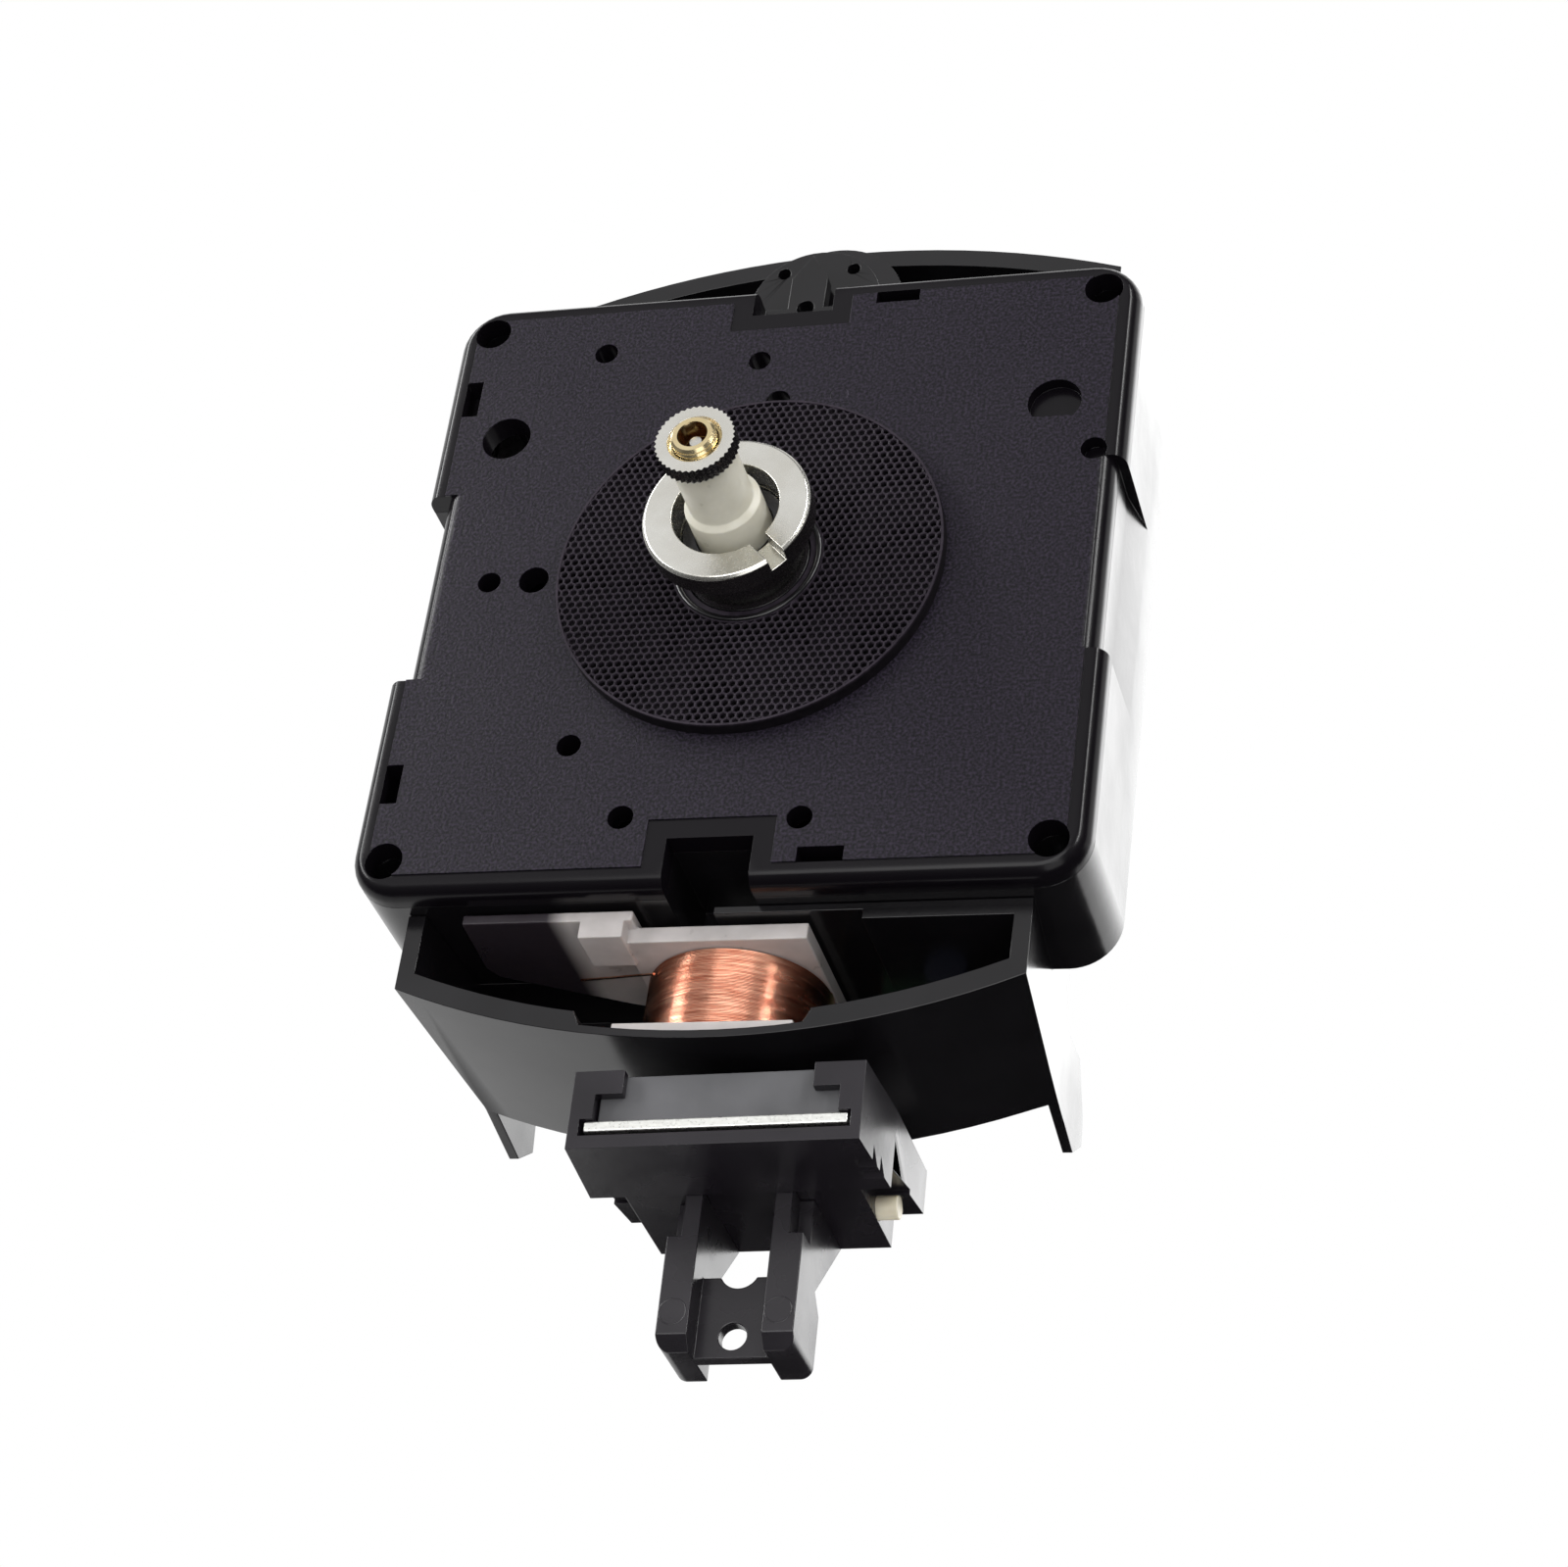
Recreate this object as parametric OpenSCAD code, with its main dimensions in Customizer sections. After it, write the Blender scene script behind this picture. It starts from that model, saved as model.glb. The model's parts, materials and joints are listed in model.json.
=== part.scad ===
// Quartz clock movement with an electromagnetic pendulum drive.
// Millimetres. The dial side faces +Z, twelve o'clock is +Y, three o'clock is +X.
// The origin is on the hand axis, at the dial face of the front cover.

/* [Movement case] */
// Width and height of the square case
case_w = 56; // [55.6:0.1:58]
// Depth of the case from its dial face to its back
case_depth = 13.4; // [13.2:0.1:13.8]
// Thickness of the front cover
cover_t = 2.1; // [1.9:0.1:2.3]
// Corner radius of the case
corner_r = 3.8; // [3:0.1:4]
// Rounding along the front edges of the cover
edge_r = 1.5; // [1:0.1:1.7]
// Thickness of the side walls of the case
case_wall = 1.4; // [1:0.1:1.5]
// Thickness of the back of the case
back_t = 1.4; // [1.2:0.1:1.5]
// Diameter of the four corner screw holes
screw_d = 3; // [2.4:0.1:3.2]
// Distance between neighbouring corner screw holes
screw_pitch = 50.3; // [50:0.1:50.6]
// Width of the notches in the top and bottom edges
notch_w = 6.6; // [5:0.2:7]
// Height of the bottom notch
notch_low_h = 4; // [3.6:0.1:4]
// Height of the top notch
notch_top_h = 2.9; // [2.4:0.1:3]
// Width of the lowered rim round the notches
notch_rim = 1.6; // [1:0.1:1.7]
// Step from the panel down to the rim of the cover
rim_step = 0.14; // [0.08:0.02:0.2]
// Height of the recess in each side, along the side
grip_h = 17.6; // [14:0.2:20]
// Depth of the recess in the right side
grip_right_in = 0.75; // [0.4:0.05:0.8]
// Depth of the recess in the left side
grip_left_in = 1.6; // [1:0.05:1.7]
// Width of the lug on top of the case
lug_w = 3; // [2:0.1:4]
// Length of the lug to its point
lug_l = 5.5; // [4:0.1:6]
// Thickness of the lug
lug_t = 1.2; // [0.8:0.1:1.4]

/* [Cell bay] */
// Diameter of the round cell
cell_d = 14.5; // [14:0.1:14.5]
// Room between the cell and the bay walls
cell_gap = 0.27; // [0.15:0.01:0.3]
// Height of the bay's lower wall above the hand axis
bay_low_y = 6.85; // [6.8:0.05:6.9]
// Thickness of the bay walls
bay_wall = 0.8; // [0.6:0.1:0.8]
// Thickness of the contact strips
contact_t = 0.3; // [0.2:0.05:0.4]
// Width of the contact strips
contact_w = 9; // [6:0.5:11]

/* [Hand shafts] */
// Diameter of the bush shoulder that centres the washer
shoulder_d = 9.7; // [9.3:0.1:10.2]
// Outer thread diameter of the centre bush
bush_d = 8; // [7.4:0.1:8.2]
// Height of the threaded bush above the dial face
bush_h = 5; // [4.2:0.1:5.2]
// Diameter of the bush spigot in the cover
spigot_d = 8.6; // [8:0.1:9.2]
// Diameter of the collar at the foot of the hour tube
collar_d = 5.9; // [5.6:0.1:6.4]
// Height of the collar above the dial face
collar_h = 8.3; // [7:0.1:9]
// Outer diameter of the hour tube
hour_d = 5; // [4.6:0.1:5.2]
// Height of the hour tube above the dial face
hour_h = 14.2; // [13:0.1:14.3]
// Outer diameter of the minute arbor and its thread
minute_d = 3.4; // [3.2:0.05:3.6]
// Height of the minute arbor above the dial face
minute_h = 16.4; // [16:0.1:17]
// Diameter of the counterbore in the minute arbor's tip
tip_bore_d = 2.3; // [2:0.1:2.4]
// Pitch of the thread on the minute arbor's tip
thread_pitch = 0.5; // [0.4:0.05:0.6]
// Diameter of the minute arbor behind its pinion
minute_foot_d = 2.6; // [2.4:0.1:2.6]
// Diameter of the seconds arbor
arbor_d = 1; // [0.95:0.05:1.05]
// Diameter of the seconds arbor's tip, which holds the hand
seconds_d = 0.9; // [0.8:0.05:0.9]
// Length of the tip for the seconds hand
seconds_tip = 0.9; // [0.7:0.1:1.2]
// Height of the seconds arbor above the dial face
seconds_h = 15.5; // [15:0.1:16]
// Radial running clearance of shafts in their bearings
run_fit = 0.05; // [0.03:0.01:0.07]
// Radial clearance of pieces fixed in each other
seat_fit = 0.02; // [0.01:0.01:0.03]

/* [Dial fastening] */
// Diameter of the rubber washer
washer_d = 30.3; // [26:0.1:32]
// Thickness of the rubber washer
washer_t = 1.2; // [1:0.1:1.4]
// Diameter of the ring nut flange
nut_d = 13; // [12:0.1:15]
// Thickness of the ring nut flange
nut_flange_t = 2; // [1.6:0.1:2.4]
// Height of the top of the ring nut above the dial face
nut_top = 7.5; // [7.2:0.1:8]
// Diameter of the ring nut's open mouth
nut_mouth_d = 8.3; // [8.2:0.1:8.6]
// Width of the spanner slots in the ring nut
nut_slot_w = 1.4; // [1:0.1:1.8]
// Depth of the spanner slots in the ring nut
nut_slot_t = 1.2; // [0.8:0.1:1.4]
// Direction of the spanner slots
nut_turn = -46; // [-90:1:90]
// Diameter of the knurled hand nut
hand_nut_d = 6.1; // [5.6:0.1:6.6]
// Thickness of the knurled hand nut
hand_nut_t = 1.35; // [1:0.05:1.4]
// Number of knurls on the hand nut
hand_nut_knurls = 40; // [24:1:48]

/* [Wheel train] */
// Distance of the third and intermediate axes from the hand axis
train_axis = 7.2; // [7.15:0.05:7.3]
// Distance of the motion work axis from the hand axis
motion_axis = 7.8; // [7.75:0.05:7.85]
// Distance of the rotor axis from the intermediate axis
rotor_axis = 7; // [6.9:0.05:7.1]
// Step between the wheel layers
layer = 1.15; // [1.1:0.05:1.2]
// Thickness of the train wheels
wheel_t = 0.5; // [0.4:0.05:0.5]
// Thickness of the train plate
plate_t = 0.8; // [0.7:0.05:0.9]
// Diameter of the wheel pivots
pivot_d = 0.8; // [0.6:0.05:0.8]
// Diameter of the rotor magnet
rotor_d = 6; // [5:0.1:6.4]
// Height of the rotor magnet
rotor_h = 2.2; // [1.8:0.1:2.2]
// Air gap between the rotor and the stator
rotor_gap = 0.4; // [0.3:0.05:0.5]
// Diameter of the setting knob
knob_d = 8; // [6:0.1:8.4]
// Diameter of the setting shaft
knob_shaft_d = 2.4; // [2:0.1:2.6]
// Distance the setting knob stands out from the case back
knob_out = 6.6; // [5:0.1:7]

/* [Step motor] */
// Thickness of the stator plate
stator_t = 0.8; // [0.6:0.1:0.9]
// Length of the motor coil
motor_coil_l = 19; // [16:0.5:20]
// Diameter of the motor coil
motor_coil_d = 5.2; // [4.6:0.1:5.3]
// Thickness of the circuit boards
board_t = 0.8; // [0.6:0.1:1]

/* [Pendulum housing] */
// Width of the housing at its front rim
unit_w = 47.4; // [46:0.2:48]
// Width of the housing at its back
unit_back_w = 44.8; // [44:0.2:45]
// Height of the front rim of the lower trough behind the dial face
rim_z = 3.2; // [2.6:0.1:3.6]
// Depth of the housing back behind the dial face
unit_depth = 21; // [20.8:0.1:21.2]
// Radius of the bottom wall
low_arc_r = 63; // [58:0.5:70]
// Distance the bottom wall stands below the case
unit_below = 10.9; // [10.7:0.1:11.2]
// Radius of the top wall
top_arc_r = 72.4; // [66:0.2:80]
// Distance the top wall stands above the case
unit_above = 14.7; // [13.5:0.1:15.5]
// Thickness of the housing's side walls
side_t = 1.35; // [1.1:0.05:1.5]
// Thickness of the curved walls
arc_t = 1.7; // [1.4:0.1:1.9]
// Thickness of the bottom wall below the coil
thin_t = 0.65; // [0.5:0.05:0.7]
// Thickness of the housing's back and middle plates
unit_plate_t = 1.4; // [1.2:0.1:1.5]
// Depth of the rear feet behind the dial face
foot_z = 29.7; // [28.4:0.1:30.5]
// Diameter of the pivot boss
boss_d = 12; // [10:0.2:13]

/* [Drive coil] */
// Radius of the copper winding under its outer layer
coil_r = 6.45; // [6:0.05:6.5]
// Depth of the coil axis behind the dial face
coil_z = 12; // [11.9:0.1:12.1]
// Diameter of the wire in the outer layer
wire_d = 0.4; // [0.3:0.02:0.4]
// Turns in the outer layer
wire_turns = 7; // [4:1:7]
// Height of the winding between the flanges
coil_h = 6.7; // [6.7:0.1:6.8]
// Thickness of the upper flange
flange_top_t = 1.3; // [1:0.1:1.4]
// Thickness of the lower flange
flange_low_t = 0.8; // [0.6:0.1:0.8]
// Width of the flanges
flange_w = 14; // [13.8:0.1:14.4]
// Distance of the winding's top below the case
coil_drop = 2.3; // [2.2:0.1:2.4]

/* [Pendulum hanger] */
// Angle at which the hanger stands, from hanging straight
hanger_swing = 1.5; // [-6:0.5:6]
// Distance of the hanger pivot above the case
pivot_above = 5.2; // [4.6:0.1:6]
// Diameter of the pivot pin
pin_d = 2; // [1.6:0.1:2.4]
// Width of the hanger arm
arm_w = 6; // [4:0.2:7]
// Thickness of the hanger arm
arm_t = 2; // [1.6:0.1:2.4]
// Running gap between the housing back and the hanger arm
arm_gap = 0.6; // [0.4:0.05:0.8]
// Width of the magnet holder
holder_w = 21.5; // [20.5:0.1:23]
// Gap between the bottom wall and the magnet holder
holder_gap = 1.9; // [1.5:0.1:2.3]
// Height of the magnet holder
holder_h = 6.2; // [5.8:0.1:6.6]
// Depth of the holder's front behind the dial face
holder_z = 4; // [3.6:0.1:4.4]
// Length of the magnet
magnet_l = 17.8; // [16:0.1:18]
// Height of the magnet
magnet_h = 3.75; // [3.2:0.05:3.9]
// Depth of the magnet from front to back
magnet_t = 5; // [4:0.1:5.6]
// Length of the keeper plate
keeper_l = 19.4; // [18:0.1:19.8]
// Thickness of the keeper plate
keeper_t = 0.85; // [0.6:0.05:1]
// Width over the legs of the rod clip
clip_w = 10.1; // [9.4:0.1:11]
// Width of the slot between the legs
clip_slot = 5.4; // [4.8:0.1:5.6]
// Length of the rod clip below the holder
clip_l = 11.8; // [10.6:0.1:13]
// Height of the window between the legs
clip_window_h = 5.5; // [4.5:0.1:6]
// Distance of the rod hole from the foot of the clip
rod_hole_up = 1.7; // [1.5:0.1:3]
// Diameter of the hole for the pendulum rod
rod_hole_d = 2.05; // [1.6:0.05:2.4]

/* [Hidden] */
round_fn = 64;
fine_fn = 32;
over = 0.5;

// Case levels and edges
half = case_w / 2;
z_in = -cover_t;
z_back = -case_depth;
z_floor = z_back + back_t;
screw_at = screw_pitch / 2;
post_r = screw_d / 2 + 0.9;
inner_half = half - case_wall;
bay_y0 = bay_low_y + bay_wall;
bay_y1 = bay_y0 + cell_d + 2 * cell_gap;
notch_low_y = half - notch_low_h;
notch_top_y = half - notch_top_h;
notch_depth = 10.6;
grip_back = 1.1;
bay_x0 = -(half - grip_left_in - grip_back);
lug_z = -3;

// Bush and nuts
bush_bore_d = collar_d + 2 * run_fit;
nut_sleeve_d = shoulder_d;
lift = 0.05;
nut_low = washer_t + lift;
hand_nut_z = hour_h + 0.25;
tip_bore_h = 1.8;

// Wheel levels, top face of each wheel
hour_gear_z = z_in - 0.3;
hour_gear_t = 1;
motion_z = hour_gear_z - hour_gear_t - 0.4;
motion_t = 0.8;
plate_z = motion_z - motion_t - 0.5;
minute_wheel_z = plate_z - plate_t - 0.4;
third_z = minute_wheel_z - layer;
seconds_z = third_z - layer;
inter_z = seconds_z - layer;
pinion_over = 0.15;
minute_foot_z = minute_wheel_z - wheel_t - 0.25;
pivot_deep = 0.9;

// Tooth counts
rotor_leaves = 6;
inter_teeth = 30;
inter_leaves = 6;
seconds_teeth = 36;
seconds_leaves = 6;
third_teeth = 45;
third_leaves = 6;
minute_teeth = 48;
minute_leaves = 10;
motion_teeth = 30;
motion_leaves = 8;
hour_teeth = 32;
setting_teeth = 10;

// Tooth sizes from the axis distances
mod_rotor = 2 * rotor_axis / (rotor_leaves + inter_teeth);
mod_seconds = 2 * train_axis / (inter_leaves + seconds_teeth);
mod_third = 2 * train_axis / (seconds_leaves + third_teeth);
mod_minute = 2 * train_axis / (third_leaves + minute_teeth);
mod_motion = 2 * motion_axis / (minute_leaves + motion_teeth);
mod_hour = 2 * motion_axis / (motion_leaves + hour_teeth);

// Axes of the train
third_dir = -20;
inter_dir = -90;
rotor_dir = -115;
motion_dir = -135;
setting_dir = 190;
function polar(r, a) = [r * cos(a), r * sin(a)];
third_p = polar(train_axis, third_dir);
inter_p = polar(train_axis, inter_dir);
rotor_p = inter_p + polar(rotor_axis, rotor_dir);
motion_p = polar(motion_axis, motion_dir);
setting_p = motion_p + polar(mod_motion * (motion_teeth + setting_teeth) / 2, setting_dir);

// Tooth phase of a wheel that meshes with another one standing at direction a from it
function mesh(phase, n1, a, n2) = a + 180 + ((a - phase) * n1 + 180) / n2;
inter_phase = mesh(0, rotor_leaves, rotor_dir + 180, inter_teeth);
seconds_phase = mesh(0, inter_leaves, inter_dir + 180, seconds_teeth);
third_phase = mesh(0, seconds_leaves, third_dir, third_teeth);
minute_phase = mesh(0, third_leaves, third_dir + 180, minute_teeth);
motion_phase = mesh(0, minute_leaves, motion_dir, motion_teeth);
hour_phase = mesh(0, motion_leaves, motion_dir + 180, hour_teeth);
setting_phase = mesh(motion_phase, motion_teeth, setting_dir, setting_teeth);

// Motor
rotor_z = minute_wheel_z - 0.4;
stator_z = rotor_z - 0.7;
stator_x0 = -18;
stator_x1 = 12;
stator_y0 = -23.6;
stator_y1 = rotor_p[1] + rotor_d / 2 + rotor_gap + 0.4;
window_y = rotor_p[1] - rotor_d / 2 - rotor_gap - 0.5;
leg_w = 3.6;
motor_y = -20.4;
bar_w = 2;
bar_t = 0.9;
bar_z = stator_z - stator_t;
motor_mid_x = (stator_x0 + stator_x1) / 2;
motor_mid_z = bar_z - bar_t / 2;

// Pendulum housing
unit_half = unit_w / 2;
unit_back_half = unit_back_w / 2;
low_y = half + unit_below;
top_y = half + unit_above;
pivot_y = half + pivot_above;
low_c = low_arc_r - low_y;
top_c = top_y - top_arc_r;
under_y = -half - 0.05;
z_seat = z_back - 0.05;
z_unit = -unit_depth;
z_unit_floor = z_unit + unit_plate_t;
strip_thin_t = 0.6;
trough_wall_t = 1.2;
strip_t = 1.85;
strip_x = 11.2;
window_y0 = bay_low_y + 0.5;
window_y1 = bay_y1 + 0.4;
rail_clear_z = z_in - cell_d - 0.6;
thin_x0 = -8.5;
thin_x1 = 7.5;
foot_y0 = -half;
foot_w = 0.8;
peg_d = 3;
peg_h = 1;
peg_x = unit_back_half - 4.4;
peg_y = -half + 5;
boss_z = 9;
cap_r = 5.45;
cap_y = pivot_y - 3.2;
cap_z = 4.9;

// Drive coil
coil_y1 = -half - coil_drop;
coil_y0 = coil_y1 - coil_h;
wire_r = wire_d / 2;
wire_path_r = coil_r + wire_r + 0.08;
flange_z0 = z_unit_floor + 0.2;
flange_z1 = -4.2;
core_r = 3;
wing_y1 = -half - 0.4;
wing_t = 0.8;
wing_z1 = -2.8;
wing_x0 = -unit_half + 4.3;
post_w = 3.4;
post_y0 = coil_y1 - 0.3;
lead_a = [-5.3, coil_y1 - 0.9, -7.2];
lead_b = [-flange_w / 2 - 5.4, wing_y1 - wing_t - 0.12, -11];
lead_d = 0.2;

// Hanger
arm_z1 = z_unit - arm_gap;
arm_z0 = arm_z1 - arm_t;
arm_foot_w = 12.8;
pin_z1 = -10.4;
pin_z0 = arm_z0 - 1.3;
clip_ring_t = 0.6;
holder_y1 = -low_y - holder_gap;
holder_y0 = holder_y1 - holder_h;
box_z0 = -11.6;
block_w = 17.6;
block_y0 = holder_y0 + 0.4;
holder_back_w = holder_w + 0.9;
magnet_z1 = -holder_z - 0.8;
magnet_y1 = holder_y1 - 0.1;
magnet_y0 = magnet_y1 - magnet_h;
keeper_y1 = magnet_y0 - 0.05;
keeper_y0 = keeper_y1 - keeper_t;
keeper_d = 6.4;
keeper_z1 = -holder_z - 0.25;
lip_w = 3.6;
lip_h = 1.9;
clip_z1 = box_z0 - 0.1;
clip_z0 = -17.6;
web_z1 = clip_z1 - 2.1;
web_t = 1.1;
clip_y0 = holder_y0 - clip_l;
clip_leg = (clip_w - clip_slot) / 2;
clip_rib = 1.3;
clip_corner_r = 0.9;
tooth_h = 1.1;
tooth_l = 1.7;
tooth_z = -7.2;
clip_hook_y = holder_y0 - 3.1;
web_top = holder_y0 - clip_window_h;
rod_hole_y = clip_y0 + rod_hole_up;
plug_d = 1.8;
plug_l = 1.6;
plug_y = holder_y0 + 1.4;
plug_z = clip_z1 - 5.5;

// Rectangle with round corners, centred
module rounded(w, h, r) {
    square([w - 2 * r, h], center = true);
    square([w, h - 2 * r], center = true);
    for (sx = [-1, 1], sy = [-1, 1])
        translate([sx * (w / 2 - r), sy * (h / 2 - r)]) circle(r = r, $fn = round_fn);
}

// Box given by its corners
module box(x0, x1, y0, y1, z0, z1) {
    translate([x0, y0, z0]) cube([x1 - x0, y1 - y0, z1 - z0]);
}

// Upright cylinder between two levels
module rod(r, z0, z1, fn = round_fn) {
    translate([0, 0, z0]) cylinder(r = r, h = z1 - z0, $fn = fn);
}

// Prism whose outline lies in the X-Z plane, from y0 up to y1
module prism_y(points, y0, y1) {
    translate([0, y1, 0]) rotate([90, 0, 0]) linear_extrude(y1 - y0) polygon(points);
}

// Prism whose outline is given as [y, z], from x0 to x1
module prism_x(points, x0, x1) {
    translate([x0, 0, 0]) rotate([90, 0, 90]) linear_extrude(x1 - x0) polygon(points);
}

// Outline of a toothed wheel with slim teeth that clear each other at every angle
function tooth(i, n, m, phase) = let (
    rp = m * n / 2,
    tip = rp + 0.62 * m,
    root = rp - 0.85 * m,
    step = 360 / n,
    a = phase + i * step
) [
    polar(root, a - 0.25 * step),
    polar(tip, a - 0.08 * step),
    polar(tip, a + 0.08 * step),
    polar(root, a + 0.25 * step)
];
module gear(n, m, phase, z1, t) {
    points = [for (i = [0:n - 1]) each tooth(i, n, m, phase)];
    translate([0, 0, z1 - t]) linear_extrude(t) polygon(points);
}

// Pinion that meshes with the wheel whose top is at z1
module pinion(n, m, phase, z1, t = wheel_t) {
    gear(n, m, phase, z1 + pinion_over, t + 2 * pinion_over);
}

// Knurled outline
module knurled(r, depth, n) {
    points = [for (i = [0:2 * n - 1]) polar(i % 2 == 0 ? r : r - depth, 180 * i / n)];
    polygon(points);
}

// Front cover: rounded front edges, dial holes, notches and snap slots
module cover_blank() {
    at = half - corner_r;
    hull()
        for (sx = [-1, 1], sy = [-1, 1])
            translate([sx * at, sy * at, 0]) {
                translate([0, 0, z_in]) cylinder(r = corner_r, h = cover_t - edge_r, $fn = fine_fn);
                rotate_extrude($fn = fine_fn)
                    translate([corner_r - edge_r, -edge_r]) intersection() {
                        circle(r = edge_r, $fn = fine_fn);
                        square(edge_r);
                    }
            }
}
module notch_cut(y_in, y_out) {
    y_rim = y_in - sign(y_out) * notch_rim;
    x = notch_w / 2;
    box(-x - notch_rim, x + notch_rim, min(y_rim, y_out), max(y_rim, y_out), -rim_step, over);
    box(-x, x, min(y_in, y_out), max(y_in, y_out), z_in - over, over);
}
module rim_cut() {
    translate([0, 0, -rim_step]) linear_extrude(rim_step + over) difference() {
        square(case_w + 2, center = true);
        rounded(case_w - 2 * edge_r - 0.2, case_w - 2 * edge_r - 0.2, corner_r - edge_r);
    }
}
module grip_cut(inset, side) {
    x = half - inset;
    edge = [for (a = [0:10:90]) [x - edge_r + edge_r * sin(a), edge_r * cos(a) - edge_r]];
    mirror([side < 0 ? 1 : 0, 0, 0])
        prism_y(concat([[half + over, over], [x - edge_r, over]], edge,
            [[x, -5.5], [half, -9.6], [half + over, -9.6]]), -grip_h / 2, grip_h / 2);
}
module cover_hole(x, y, d, deep) {
    translate([x, y, 0]) rod(d / 2, -deep, over);
}
module front_cover() color([0.12, 0.115, 0.125]) difference() {
    cover_blank();
    rim_cut();
    notch_cut(-notch_low_y, -half - over);
    notch_cut(notch_top_y, half + over);
    grip_cut(grip_right_in, 1);
    grip_cut(grip_left_in, -1);
    rod(spigot_d / 2 + seat_fit, z_in - over, over);
    for (sx = [-1, 1], sy = [-1, 1])
        cover_hole(sx * screw_at, sy * screw_at, screw_d, cover_t + over);
    cover_hole(-22.15, 14.15, 4, cover_t + over);
    intersection() {
        cover_hole(22.2, 14.2, 4.2, 1);
        box(20, 24.4, 12.8, 16.4, -1, over);
    }
    cover_hole(-15, 22.15, 1.9, cover_t + over);
    cover_hole(-2, 20.3, 1.8, cover_t + over);
    cover_hole(-21.15, 0, 1.85, cover_t + over);
    cover_hole(-17.5, 0, 2.4, cover_t + over);
    cover_hole(-12.15, -15.55, 1.9, cover_t + over);
    cover_hole(-7.1, -22.1, 2, cover_t + over);
    cover_hole(6.6, -22.65, 1.95, cover_t + over);
    cover_hole(0, 16.1, 2, cover_t + over);
    cover_hole(25.6, 9.45, 2, 1.2);
    for (sy = [-1, 1])
        box(-26.5, -25.1, min(sy * 16.65, sy * 20.1), max(sy * 16.65, sy * 20.1), z_in - over, over);
    box(6.9, 10.4, 25.35, 26.55, z_in - over, over);
    box(6.75, 10.25, -26.4, -25.2, z_in - over, over);
}

// Movement case: open-fronted box with screw posts, cell bay, notch pockets and lug
module movement_case() color([0.1, 0.1, 0.105]) difference() {
    union() {
        difference() {
            translate([0, 0, z_back]) linear_extrude(z_in - z_back) rounded(case_w, case_w, corner_r);
            translate([0, 0, z_floor]) linear_extrude(z_in - z_floor + over)
                rounded(2 * inner_half, 2 * inner_half, corner_r - case_wall);
        }
        for (sx = [-1, 1], sy = [-1, 1])
            translate([sx * screw_at, sy * screw_at, 0]) rod(post_r, z_floor - 0.1, z_in);
        box(-inner_half - 0.1, inner_half + 0.1, bay_low_y, bay_y0, z_floor - 0.1, z_in);
        box(-inner_half - 0.1, inner_half + 0.1, bay_y1, bay_y1 + bay_wall, z_floor - 0.1, z_in);
        box(-inner_half - 0.1, bay_x0, -grip_h / 2 - 1.2, bay_y1 + 0.1, z_floor - 0.1, z_in);
        box(-notch_w / 2 - 0.7, notch_w / 2 + 0.7, -inner_half - 0.1, -notch_low_y + 0.6,
            z_floor - 0.1, z_in);
        box(-notch_w / 2 - 0.7, notch_w / 2 + 0.7, notch_top_y - 0.6, inner_half + 0.1,
            z_floor - 0.1, z_in);
        translate([0, 0, lug_z - lug_t]) linear_extrude(lug_t)
            polygon([[-lug_w / 2, half - 1.2], [lug_w / 2, half - 1.2],
                [lug_w / 2, half + lug_l - 2.4], [0, half + lug_l],
                [-lug_w / 2, half + lug_l - 2.4]]);
    }
    for (sx = [-1, 1], sy = [-1, 1])
        translate([sx * screw_at, sy * screw_at, 0]) rod(screw_d / 2, z_back - over, z_in + over);
    box(bay_x0, inner_half, bay_y0, bay_y1, z_back - over, z_in + over);
    box(-notch_w / 2, notch_w / 2, -half - over, -notch_low_y, -notch_depth, z_in + over);
    box(-notch_w / 2, notch_w / 2, notch_top_y, half + over, lug_z, z_in + over);
    grip_cut(grip_right_in, 1);
    grip_cut(grip_left_in, -1);
    translate([0, half, 0]) rod(0.7, lug_z - lug_t - 0.4, z_in);
    translate([0, 0, 0]) rod(pivot_d / 2 + run_fit, z_floor - pivot_deep, z_floor + over);
    for (p = [third_p, inter_p, rotor_p])
        translate([p[0], p[1], 0]) rod(pivot_d / 2 + run_fit, z_floor - pivot_deep, z_floor + over);
    translate([setting_p[0], setting_p[1], 0])
        rod(knob_shaft_d / 2 + run_fit, z_back - over, z_floor + over);
    for (sx = [-1, 1])
        translate([sx * peg_x, peg_y, 0]) rod(peg_d / 2 + seat_fit, z_back - over, z_back + peg_h + 0.1);
}

// Centre bush with the thread for the ring nut
module centre_bush() color([0.09, 0.09, 0.09]) difference() {
    union() {
        rod(spigot_d / 2, z_in, 0.01);
        rod(shoulder_d / 2, 0, washer_t);
        rod(bush_d / 2, washer_t - 0.01, bush_h);
    }
    rod(bush_bore_d / 2, z_in - over, bush_h + over);
}

// Rubber washer between the cover and the dial
module rubber_washer() color([0.13, 0.13, 0.13]) difference() {
    rod(washer_d / 2, 0, washer_t);
    rod(shoulder_d / 2 + 0.1, -over, washer_t + over);
}

// Ring nut: flange with two spanner slots on a sleeve that fits the dial hole
module ring_nut() color([0.84, 0.82, 0.78]) difference() {
    union() {
        rod(nut_sleeve_d / 2, nut_low, nut_top - nut_flange_t + 0.01);
        rod(nut_d / 2, nut_top - nut_flange_t, nut_top - 0.25);
        translate([0, 0, nut_top - 0.25])
            cylinder(r1 = nut_d / 2, r2 = nut_d / 2 - 0.25, h = 0.25, $fn = round_fn);
    }
    rod(bush_d / 2 + run_fit, nut_low - over, bush_h + 0.1);
    rod(nut_mouth_d / 2, bush_h, nut_top + over);
    rotate([0, 0, nut_turn])
        box(-nut_d, nut_d, -nut_slot_w / 2, nut_slot_w / 2, nut_top - nut_slot_t, nut_top + over);
}

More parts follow.
